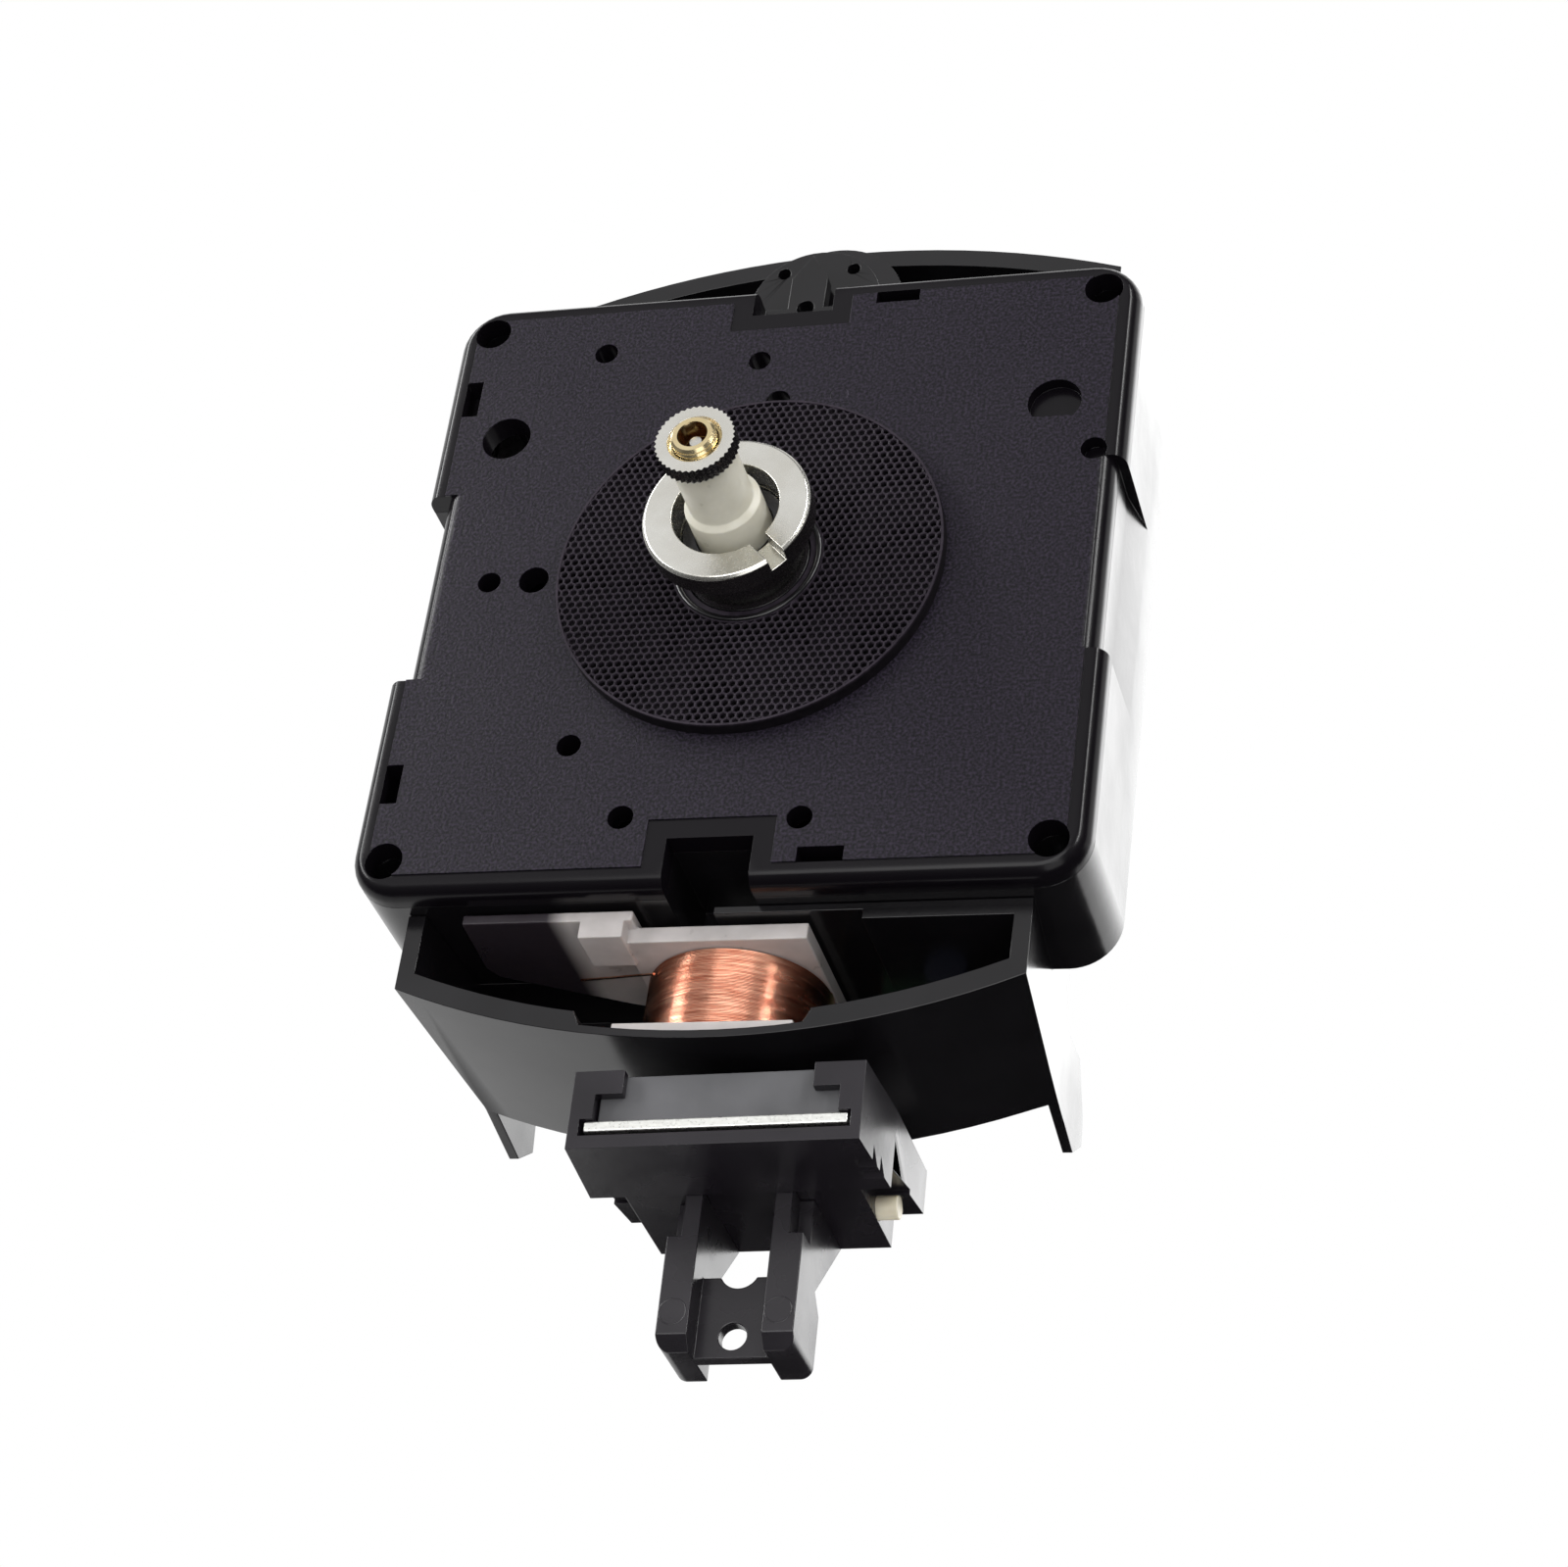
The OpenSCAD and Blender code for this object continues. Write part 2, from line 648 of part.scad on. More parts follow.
// Knurled nut that holds the minute hand
module hand_nut() color([0.86, 0.85, 0.82]) difference() {
    translate([0, 0, hand_nut_z]) linear_extrude(hand_nut_t) knurled(hand_nut_d / 2, 0.16, hand_nut_knurls);
    rod(minute_d / 2 + run_fit, hand_nut_z - over, hand_nut_z + hand_nut_t + over);
    translate([0, 0, hand_nut_z + hand_nut_t - 0.3])
        cylinder(r1 = minute_d / 2 + run_fit, r2 = minute_d / 2 + run_fit + 0.35, h = 0.31, $fn = round_fn);
}

// Hour wheel with its tube
module hour_wheel() color([0.93, 0.92, 0.86]) difference() {
    union() {
        gear(hour_teeth, mod_hour, hour_phase, hour_gear_z, hour_gear_t);
        rod(collar_d / 2, hour_gear_z - 0.01, collar_h);
        translate([0, 0, collar_h]) cylinder(r1 = collar_d / 2, r2 = hour_d / 2, h = 0.4, $fn = round_fn);
        rod(hour_d / 2, collar_h, hour_h);
    }
    rod(minute_d / 2 + run_fit, hour_gear_z - hour_gear_t - over, hour_h + over);
}

// Minute arbor: brass tube with a threaded tip and a pinion
thread_count = floor(2.2 / thread_pitch);
thread_deep = 0.15;
thread_points = [for (i = [thread_count - 1:-1:0]) let (z = minute_h - 0.25 - i * thread_pitch) each [
    [minute_d / 2, z - thread_pitch * 0.8],
    [minute_d / 2 - thread_deep, z - thread_pitch * 0.5],
    [minute_d / 2, z - thread_pitch * 0.2]
]];
minute_pinion_z = motion_z;
module minute_arbor() color([0.83, 0.68, 0.36]) difference() {
    union() {
        rotate_extrude($fn = round_fn)
            polygon(concat([[0, minute_pinion_z], [minute_d / 2, minute_pinion_z]],
                thread_points,
                [[minute_d / 2, minute_h - 0.2], [minute_d / 2 - 0.2, minute_h], [0, minute_h]]));
        pinion(minute_leaves, mod_motion, 0, minute_pinion_z, motion_t);
        rod(minute_foot_d / 2, minute_foot_z, minute_pinion_z - motion_t);
    }
    rod(arbor_d / 2 + run_fit, minute_foot_z - over, minute_h + over);
    rod(tip_bore_d / 2, minute_h - tip_bore_h, minute_h + over);
}

// Minute wheel, which drives the minute arbor by friction
module minute_wheel() color([0.9, 0.88, 0.8]) difference() {
    gear(minute_teeth, mod_minute, minute_phase, minute_wheel_z, wheel_t);
    rod(minute_foot_d / 2 + run_fit, minute_wheel_z - wheel_t - over, minute_wheel_z + over);
    for (a = [0:60:359])
        rotate([0, 0, a]) translate([3.8, 0, 0])
            rod(1.1, minute_wheel_z - wheel_t - over, minute_wheel_z + over);
}

// Steel arbor for the seconds hand
module seconds_arbor() color([0.78, 0.78, 0.8]) {
    rod(arbor_d / 2, seconds_z - wheel_t - pinion_over, seconds_h - seconds_tip);
    rod(seconds_d / 2, seconds_h - seconds_tip - over, seconds_h);
    rod(pivot_d / 2, z_floor - pivot_deep + 0.1, seconds_z - wheel_t - pinion_over + 0.01);
}

// Seconds wheel with its pinion, pressed on the steel arbor
module seconds_wheel() color([0.88, 0.86, 0.8]) difference() {
    union() {
        gear(seconds_teeth, mod_seconds, seconds_phase, seconds_z, wheel_t);
        pinion(seconds_leaves, mod_third, 0, third_z);
        rod(mod_third * seconds_leaves / 2 - 0.85 * mod_third + 0.12, seconds_z - 0.01, third_z - wheel_t);
        rod(1.4, seconds_z - wheel_t - pinion_over, seconds_z);
    }
    rod(arbor_d / 2 + seat_fit, z_floor, third_z + over);
}

// Third wheel with its pinion and pivots
module third_wheel() color([0.86, 0.86, 0.82]) translate([third_p[0], third_p[1], 0]) {
    gear(third_teeth, mod_third, third_phase, third_z, wheel_t);
    pinion(third_leaves, mod_minute, 0, minute_wheel_z);
    rod(pivot_d / 2, z_floor - pivot_deep + 0.1, plate_z - 0.1);
}

// Intermediate wheel with its pinion and pivots
module intermediate_wheel() color([0.86, 0.86, 0.82]) translate([inter_p[0], inter_p[1], 0]) {
    gear(inter_teeth, mod_rotor, inter_phase, inter_z, wheel_t);
    pinion(inter_leaves, mod_seconds, 0, seconds_z);
    rod(pivot_d / 2, z_floor - pivot_deep + 0.1, plate_z - 0.1);
}

// Rotor pinion and its arbor
module rotor_pinion() color([0.9, 0.9, 0.88]) translate([rotor_p[0], rotor_p[1], 0]) {
    pinion(rotor_leaves, mod_rotor, 0, inter_z);
    rod(pivot_d / 2, z_floor - pivot_deep + 0.1, plate_z - 0.1);
}

// Rotor magnet
module rotor_magnet() color([0.3, 0.3, 0.32]) translate([rotor_p[0], rotor_p[1], 0]) difference() {
    rod(rotor_d / 2, rotor_z - rotor_h, rotor_z);
    rod(pivot_d / 2 + seat_fit, rotor_z - rotor_h - over, rotor_z + over);
}

// Motion wheel between the minute arbor and the hour wheel
module motion_wheel() color([0.9, 0.88, 0.8]) translate([motion_p[0], motion_p[1], 0]) difference() {
    union() {
        gear(motion_teeth, mod_motion, motion_phase, motion_z, motion_t);
        gear(motion_leaves, mod_hour, 0, hour_gear_z + 0.1, hour_gear_t + 0.2);
        rod(mod_hour * motion_leaves / 2 - 0.85 * mod_hour, motion_z - 0.01, hour_gear_z - hour_gear_t);
    }
    rod(0.55 + run_fit, motion_z - motion_t - over, z_in);
}

// Setting knob with its shaft and pinion
module setting_knob() color([0.12, 0.12, 0.12]) translate([setting_p[0], setting_p[1], 0]) {
    gear(setting_teeth, mod_motion, setting_phase, motion_z, motion_t);
    rod(knob_shaft_d / 2, z_back - 1.2, motion_z - motion_t + 0.01);
    translate([0, 0, z_back - knob_out]) linear_extrude(knob_out - 0.8) knurled(knob_d / 2, 0.3, 24);
}

// Train plate with the front bearings, the motion work stud and four legs
plate_x0 = -21.5;
plate_x1 = 16;
plate_y0 = -17.4;
plate_y1 = bay_low_y - 0.5;
module train_plate() color([0.2, 0.2, 0.21]) difference() {
    union() {
        translate([(plate_x0 + plate_x1) / 2, (plate_y0 + plate_y1) / 2, plate_z - plate_t])
            linear_extrude(plate_t) rounded(plate_x1 - plate_x0, plate_y1 - plate_y0, 2);
        translate([motion_p[0], motion_p[1], 0]) rod(0.55, plate_z - 0.01, z_in - 0.2);
        for (p = [[-19.5, 3.6], [-19.5, -12], [13.8, 4], [14.2, -7.6]])
            translate([p[0], p[1], 0]) rod(1.1, z_floor, plate_z - plate_t + 0.01);
    }
    rod(minute_foot_d / 2 + run_fit, plate_z - plate_t - over, plate_z + over);
    for (p = [third_p, inter_p, rotor_p])
        translate([p[0], p[1], 0]) rod(pivot_d / 2 + run_fit, plate_z - plate_t - over, plate_z + over);
    translate([setting_p[0], setting_p[1], 0])
        rod(knob_shaft_d / 2 + run_fit, plate_z - plate_t - over, plate_z + over);
}

// Stator plate round the rotor
module stator() color([0.72, 0.72, 0.74]) difference() {
    box(stator_x0, stator_x1, stator_y0, stator_y1, stator_z - stator_t, stator_z);
    box(stator_x0 + leg_w, stator_x1 - leg_w, stator_y0 - over, window_y,
        stator_z - stator_t - over, stator_z + over);
    translate([rotor_p[0], rotor_p[1], 0])
        rod(rotor_d / 2 + rotor_gap, stator_z - stator_t - over, stator_z + over);
}

// Iron bar through the motor coil
module core_bar() color([0.68, 0.68, 0.7])
    box(stator_x0, stator_x1, motor_y - bar_w / 2, motor_y + bar_w / 2, bar_z - bar_t, bar_z);

// Motor bobbin and winding along X
module along_x(r, x0, x1) {
    translate([x0, motor_y, motor_mid_z]) rotate([0, 90, 0]) cylinder(r = r, h = x1 - x0, $fn = round_fn);
}
motor_x0 = motor_mid_x - motor_coil_l / 2;
motor_x1 = motor_mid_x + motor_coil_l / 2;
module motor_bobbin() color([0.16, 0.16, 0.17]) difference() {
    union() {
        along_x(1.55, motor_x0 - 0.8, motor_x1 + 0.8);
        along_x(motor_coil_d / 2, motor_x0 - 0.8, motor_x0);
        along_x(motor_coil_d / 2, motor_x1, motor_x1 + 0.8);
    }
    box(motor_x0 - 2, motor_x1 + 2, motor_y - bar_w / 2 - seat_fit, motor_y + bar_w / 2 + seat_fit,
        bar_z - bar_t - seat_fit, bar_z + seat_fit);
}
module motor_coil() color([0.72, 0.42, 0.24]) difference() {
    along_x(motor_coil_d / 2 - 0.2, motor_x0 + seat_fit, motor_x1 - seat_fit);
    along_x(1.55 + seat_fit, motor_x0 - over, motor_x1 + over);
}

// Circuit board with its crystal and chip cover
board_x1 = inner_half - 0.4;
board_x0 = board_x1 - 9.6;
board_y0 = post_r - screw_at + 0.95;
board_y1 = bay_low_y - 1.25;
board_z1 = z_floor + board_t;
module circuit_board() color([0.12, 0.32, 0.16])
    box(board_x0, board_x1, board_y0, board_y1, z_floor, board_z1);
module quartz_crystal() color([0.8, 0.8, 0.78])
    translate([board_x1 - 1.8, board_y1 - 7.6, board_z1 + 1]) rotate([90, 0, 0])
        cylinder(r = 1, h = 6, $fn = round_fn);
module chip_cover() color([0.05, 0.05, 0.05])
    translate([board_x0 + 4, (board_y0 + board_y1) / 2, board_z1])
        cylinder(r1 = 2.4, r2 = 1.6, h = 0.9, $fn = round_fn);

// Cell contacts at the ends of the bay
bay_mid = (bay_y0 + bay_y1) / 2;
module contact_plus() color([0.8, 0.8, 0.78])
    box(inner_half - contact_t, inner_half, bay_mid - contact_w / 2, bay_mid + contact_w / 2,
        z_floor + 0.2, z_in - 0.8);
module contact_minus() color([0.8, 0.8, 0.78]) {
    x = bay_x0;
    z1 = z_in - 0.8;
    z0 = z_floor + 0.2;
    t = contact_t;
    prism_y([[x, z1], [x, z0], [x + t, z0], [x + t + 1.3, z0 + 2.2], [x + t + 0.4, z1 - 1.4],
        [x + 0.4, z1 - 1.4], [x + 1.2, z0 + 2.2], [x + t, z0 + 0.9], [x + t, z1]],
        bay_mid - contact_w / 2, bay_mid + contact_w / 2);
}

// Pendulum housing: curved top and bottom walls between drafted side walls
module lens(inset) {
    intersection() {
        translate([0, low_c]) circle(r = low_arc_r - inset, $fn = 180);
        translate([0, top_c]) circle(r = top_arc_r - inset, $fn = 180);
    }
}
function unit_x(z, inset) = unit_half - inset
    - (unit_half - unit_back_half) * (-z - rim_z) / (unit_depth - rim_z);
module unit_solid(inset, side_inset, z0, z1) {
    intersection() {
        translate([0, 0, z0]) linear_extrude(z1 - z0) lens(inset);
        prism_y([[-unit_x(z1, side_inset), z1], [unit_x(z1, side_inset), z1],
            [unit_x(z0, side_inset), z0], [-unit_x(z0, side_inset), z0]], -80, 80);
    }
}
module unit_foot(side) {
    x1 = side * unit_back_half;
    x0 = side * (unit_back_half - foot_w);
    y = foot_y0;
    prism_x([[y, z_unit + 1], [y, 3 - foot_z], [y - 3.6, 0.4 - foot_z], [y - 5.9, -foot_z],
        [y - 7.8, 2.6 - foot_z], [y - 6.7, z_unit + 1]], min(x0, x1), max(x0, x1));
    prism_x([[pivot_y - 3.7, z_unit + 1], [pivot_y - 2.7, -foot_z], [pivot_y + 2.3, -foot_z],
        [pivot_y + 3.3, z_unit + 1]], min(x0, x1), max(x0, x1));
}
module pendulum_housing() color([0.07, 0.07, 0.075]) difference() {
    union() {
        difference() {
            unit_solid(0, 0, z_unit, -rim_z);
            box(-40, 40, under_y, 60, z_seat, 0);
            difference() {
                unit_solid(arc_t, side_t, z_unit_floor, over);
                box(-40, 40, under_y - side_t, window_y1 + side_t, -40, 1);
            }
            difference() {
                unit_solid(arc_t, side_t, z_unit_floor, over);
                box(-40, 40, under_y, 80, -40, 1);
                box(strip_x, 40, under_y - strip_t, 80, -40, 1);
                box(0, strip_x + 1, under_y - strip_thin_t, 80, -40, 1);
            }
            intersection() {
                unit_solid(thin_t, side_t, z_unit_floor, over);
                translate([0, 0, z_unit_floor]) linear_extrude(30)
                    polygon([[thin_x0 - 0.9, 4.9 - low_y], [thin_x1 + 0.9, 4.9 - low_y],
                        [thin_x1 + 0.9, 2.3 - low_y], [thin_x1, 0.4 - low_y],
                        [thin_x0, 0.4 - low_y], [thin_x0 - 0.9, 2.3 - low_y]]);
            }
            box(-unit_x(z_unit, side_t), unit_x(z_unit, side_t), under_y + trough_wall_t, window_y1 + 0.01,
                z_unit - over, z_seat - unit_plate_t);
            box(-unit_x(z_unit, side_t), unit_x(z_unit, side_t), window_y0, window_y1,
                z_unit - over, z_seat + over);
            box(-40, 40, window_y0, window_y1, rail_clear_z, z_seat + over);
        }
        difference() {
            union() {
                translate([0, pivot_y, 0]) rod(boss_d / 2, z_unit + 0.5, -boss_z);
                translate([0, cap_y, 0]) rod(cap_r, -boss_z - 0.01, -cap_z);
            }
            box(-20, 20, window_y0, half + 0.3, z_seat, 0);
            box(-20, 20, window_y0, window_y1, z_unit, 0);
        }
        for (side = [-1, 1]) unit_foot(side);
        for (side = [-1, 1]) translate([side * peg_x, peg_y, 0])
            rod(peg_d / 2, z_seat - 0.5, z_back + peg_h);
    }
    translate([0, pivot_y, 0]) rod(pin_d / 2 + seat_fit, z_unit - over, pin_z1 + 0.1);
    for (sx = [-1, 1]) translate([sx * 2.93, cap_y + 3.4, 0]) rod(0.53, -cap_z - 1.5, 0);
    translate([setting_p[0], setting_p[1], 0]) rod(knob_d / 2 + 0.6, z_unit - over, z_seat + over);
}

// Drive coil bobbin with its wing and post
module along_y(r, y0, y1) {
    translate([0, y1, -coil_z]) rotate([90, 0, 0]) cylinder(r = r, h = y1 - y0, $fn = round_fn);
}
module coil_bobbin() color([0.9, 0.9, 0.87]) {
    box(-flange_w / 2, flange_w / 2, coil_y1, coil_y1 + flange_top_t, flange_z0, flange_z1);
    box(-flange_w / 2 + 0.2, flange_w / 2 - 0.2, coil_y0 - flange_low_t, coil_y0, flange_z0, flange_z1);
    along_y(core_r, coil_y0 - 0.1, coil_y1 + 0.1);
    x1 = 1 - flange_w / 2;
    prism_y([[wing_x0 + 0.2, wing_z1], [x1, wing_z1], [x1, -coil_z - 4.4],
        [x1 - 3.7, -coil_z - 2.9], [wing_x0 + 0.7, 1.5 - coil_z], [wing_x0, 2.8 - coil_z]],
        wing_y1 - wing_t, wing_y1);
    box(x1 - 0.6 - post_w, x1 - 0.6, post_y0, wing_y1, wing_z1 - 4.2, wing_z1);
}

// Inner layers of the winding
module coil_body() color([0.72, 0.4, 0.26]) difference() {
    along_y(coil_r, coil_y0 + 0.05, coil_y1 - 0.05);
    along_y(core_r + seat_fit, coil_y0 - 1, coil_y1 + 1);
}

// Outer layer of the winding: one unbroken tube, straight into both flanges
rings_per_turn = 24;
wire_sides = 6;
end_run = wire_d + 0.08;
wire_pitch = (coil_h - 2 * end_run) / wire_turns;
wire_rings = wire_turns * rings_per_turn;
function on_coil(angle, y) = [wire_path_r * sin(angle), y, wire_path_r * cos(angle) - coil_z];
wire_start_y = coil_y1 - end_run;
wire_a0 = -150;
wire_a1 = wire_a0 + wire_turns * 360;
wire_points = concat(
    [[wire_a0, coil_y1 - 0.01], [wire_a0, coil_y1 - 0.01 - wire_d]],
    [for (i = [1:wire_rings - 1])
        [wire_a0 + i * 360 / rings_per_turn, wire_start_y - i * wire_pitch / rings_per_turn]],
    [[wire_a1, coil_y0 + 0.01 + wire_d], [wire_a1, coil_y0 + 0.01]]
);
function unit(v) = v / norm(v);
function wire_centre(i) = on_coil(wire_points[i][0], wire_points[i][1]);
wire_last = len(wire_points) - 1;
wire_centres = [for (i = [0:wire_last]) wire_centre(i)];
function wire_dir(i) = i == 0 || i == wire_last
    ? [0, -1, 0]
    : unit(unit(wire_centres[i + 1] - wire_centres[i]) + unit(wire_centres[i] - wire_centres[i - 1]));
function wire_ring(i) = let (
    n = [sin(wire_points[i][0]), 0, cos(wire_points[i][0])],
    t = wire_dir(i),
    b = unit(cross(t, n)),
    m = cross(b, t)
) [for (k = [0:wire_sides - 1]) wire_centres[i]
    + wire_r * (cos(60 * k) * m + sin(60 * k) * b)];
wire_gap = min([for (i = [0:wire_last]) for (j = [i + rings_per_turn / 2:1:wire_last])
    norm(wire_centres[i] - wire_centres[j])]) - wire_d;
echo(str("Least gap of the outer coil wire to itself: ", wire_gap, " mm"));
module coil_wire() color([0.82, 0.48, 0.32]) {
    points = [for (i = [0:wire_last]) each wire_ring(i)];
    s = wire_sides;
    side_faces = [for (i = [0:wire_last - 1]) for (k = [0:s - 1]) let (
        a = i * s + k,
        b = i * s + (k + 1) % s
    ) each [[a, b + s, b], [a, a + s, b + s]]];
    first = [for (k = [1:s - 2]) [0, k, k + 1]];
    last_at = wire_last * s;
    last = [for (k = [1:s - 2]) [last_at, last_at + k + 1, last_at + k]];
    polyhedron(points = points, faces = concat(side_faces, first, last));
}

// Thin lead from the winding to the wing
module coil_lead() color([0.7, 0.42, 0.3]) {
    v = lead_b - lead_a;
    translate(lead_a) rotate([0, acos(v[2] / norm(v)), atan2(v[1], v[0])])
        cylinder(d = lead_d, h = norm(v), $fn = 16);
}

// Drive circuit on the trough floor
drive_x0 = flange_w / 2 + 1.6;
drive_x1 = unit_back_half - side_t - 0.45;
drive_y1 = under_y - strip_t - 0.1;
drive_y0 = low_c - sqrt(pow(low_arc_r - arc_t, 2) - pow(drive_x1, 2)) + 0.3;
cap_at_y = drive_y1 - 1.8;
module pendulum_board() color([0.12, 0.32, 0.16])
    box(drive_x0, drive_x1, drive_y0, drive_y1, z_unit_floor, z_unit_floor + board_t);
module drive_capacitor() color([0.2, 0.24, 0.4])
    translate([(drive_x0 + drive_x1) / 2, cap_at_y, z_unit_floor + board_t])
        cylinder(d = 3.2, h = 4.4, $fn = round_fn);

// Pivot pin and its retaining ring
module pivot_pin() color([0.75, 0.75, 0.77])
    translate([0, pivot_y, 0]) rod(pin_d / 2, pin_z0, pin_z1);
module pivot_clip() color([0.7, 0.7, 0.72])
    translate([0, pivot_y, 0]) difference() {
        rod(pin_d / 2 + 1.2, arm_z0 - 0.3 - clip_ring_t, arm_z0 - 0.3);
        rod(pin_d / 2 + seat_fit, arm_z0 - 2, arm_z0);
    }

// Turns the hanger's pieces about the pivot
module swung() {
    translate([0, pivot_y, 0]) rotate([0, 0, hanger_swing]) translate([0, -pivot_y, 0]) children();
}

// Hanger arm that swings on the pivot pin behind the housing
module hanger_arm() color([0.09, 0.09, 0.095]) swung() difference() {
    union() {
        translate([0, pivot_y, 0]) rod(4.2, arm_z0, arm_z1);
        box(-arm_w / 2, arm_w / 2, holder_y1 + 3.8, pivot_y, arm_z0, arm_z1);
        translate([0, 0, arm_z0]) linear_extrude(arm_t)
            polygon([[-arm_w / 2, holder_y1 + 4.8], [arm_w / 2, holder_y1 + 4.8],
                [arm_foot_w / 2, holder_y1],
                [arm_foot_w / 2, block_y0 + 1.8], [-arm_foot_w / 2, block_y0 + 1.8],
                [-arm_foot_w / 2, holder_y1]]);
    }
    translate([0, pivot_y, 0]) rod(pin_d / 2 + run_fit, arm_z0 - over, arm_z1 + over);
}

// Magnet holder: front box with lips, wings and rear block
module holder_box() {
    x = holder_w / 2;
    xb = holder_back_w / 2;
    prism_y([[-x, -holder_z], [x, -holder_z], [xb, box_z0], [-xb, box_z0]], holder_y0, holder_y1);
}
module magnet_holder() color([0.1, 0.1, 0.105]) swung() difference() {
    union() {
        holder_box();
        box(-block_w / 2, block_w / 2, block_y0, holder_y1, arm_z1, box_z0 + 0.01);
        for (side = [-1, 1]) {
            x0 = side * (block_w / 2 - 0.1);
            x1 = side * holder_back_w / 2;
            prism_x([[holder_y1, box_z0 + 0.01], [holder_y0 + 1.5, box_z0 + 0.01], [holder_y0 + 2.5, -16.6],
                [holder_y0 + 2.1, -16.6], [holder_y0 + 2.7, 0.7 + arm_z1], [holder_y1, 0.7 + arm_z1]],
                min(x0, x1), max(x0, x1));
        }
    }
    box(-magnet_l / 2 - 0.1, magnet_l / 2 + 0.1, magnet_y0 - 0.1, holder_y1 + over,
        magnet_z1 - magnet_t - 0.1, magnet_z1);
    box(-magnet_l / 2 - 0.1 + lip_w - 1.6, magnet_l / 2 + 0.1 - lip_w + 1.6, magnet_y0 - 0.1,
        holder_y1 + over, magnet_z1 - 0.1, over);
    box(-magnet_l / 2 - 0.1, magnet_l / 2 + 0.1, magnet_y0 - 0.1, holder_y1 - lip_h,
        magnet_z1 - 0.1, over);
    box(-keeper_l / 2 - 0.25, keeper_l / 2 + 0.25, keeper_y0 - 0.4, magnet_y0,
        -holder_z - keeper_d - 0.3, over);
    for (i = [0, 1])
        prism_x([[holder_y0 - over, tooth_z - i * tooth_l], [holder_y0 + tooth_h, tooth_z - i * tooth_l],
            [holder_y0 - over, tooth_z - (i + 0.9) * tooth_l]], magnet_l / 2 + 0.7, holder_w / 2 + 1);
    translate([block_w / 2 - 1.2, plug_y, plug_z]) rotate([0, 90, 0])
        cylinder(r = plug_d / 2 + seat_fit, h = 3, $fn = fine_fn);
}

// Bar magnet and steel keeper plate
module magnet() color([0.32, 0.33, 0.35]) swung()
    box(-magnet_l / 2, magnet_l / 2, magnet_y0, magnet_y1, magnet_z1 - magnet_t, magnet_z1 - 0.05);
module keeper_plate() color([0.88, 0.87, 0.84]) swung()
    box(-keeper_l / 2, keeper_l / 2, keeper_y0, keeper_y1, -holder_z - keeper_d, keeper_z1);

// Clip for the pendulum rod: two braced legs, a web with the rod hole
module clip_leg_blank(side) {
    x0 = side * clip_slot / 2;
    x1 = side * clip_w / 2;
    prism_x([[block_y0 - 0.01, clip_z1], [clip_y0 + 1, clip_z1], [clip_y0, clip_z1 - 1],
        [clip_y0, clip_z0], [clip_y0 + 4.8, clip_z0], [clip_y0 + 6.1, clip_z0 + 1.5],
        [block_y0 - 0.01, arm_z1]], min(x0, x1), max(x0, x1));
}
module rod_clip() color([0.1, 0.1, 0.105]) swung() difference() {
    union() {
        intersection() {
            for (side = [-1, 1]) clip_leg_blank(side);
            translate([0, clip_y0 + clip_l / 2 + 2, arm_z1 - 1]) linear_extrude(clip_z1 - arm_z1 + 2)
                rounded(clip_w, clip_l + 4, clip_corner_r);
        }
        box(-clip_slot / 2 - 0.1, clip_slot / 2 + 0.1, clip_y0, web_top, web_z1 - web_t, web_z1);
    }
    translate([0, rod_hole_y, 0]) rod(rod_hole_d / 2, web_z1 - web_t - over, web_z1 + over);
    translate([0, web_top + 0.6, 0]) rod(1.45, web_z1 - web_t - over, web_z1 + over);
    for (side = [-1, 1])
        translate([side * (clip_w / 2 + 1 - (clip_leg - clip_rib + 1) / 2), 0, clip_z1])
            translate([0, (clip_hook_y + block_y0 + 1) / 2, -0.5])
                cube([clip_leg - clip_rib + 1, block_y0 + 1 - clip_hook_y, 3], center = true);
}

// Plain plug in the side of the holder
module holder_plug() color([0.86, 0.83, 0.7]) swung()
    translate([block_w / 2 - 1.15, plug_y, plug_z]) rotate([0, 90, 0])
        cylinder(r = plug_d / 2, h = plug_l + 1.15, $fn = fine_fn);

front_cover();
movement_case();
centre_bush();
rubber_washer();
ring_nut();
hand_nut();
hour_wheel();
minute_arbor();
minute_wheel();
seconds_arbor();
seconds_wheel();
third_wheel();
intermediate_wheel();
rotor_pinion();
rotor_magnet();
motion_wheel();
setting_knob();
train_plate();
stator();
core_bar();
motor_bobbin();
motor_coil();
circuit_board();
quartz_crystal();
chip_cover();
contact_plus();
contact_minus();
pendulum_housing();
coil_bobbin();
coil_body();
coil_wire();
coil_lead();
pendulum_board();
drive_capacitor();
pivot_pin();
pivot_clip();
hanger_arm();
magnet_holder();
rod_clip();
magnet();
keeper_plate();
holder_plug();
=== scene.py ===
import json
import math
import bpy
import bmesh
from mathutils import Matrix, Vector


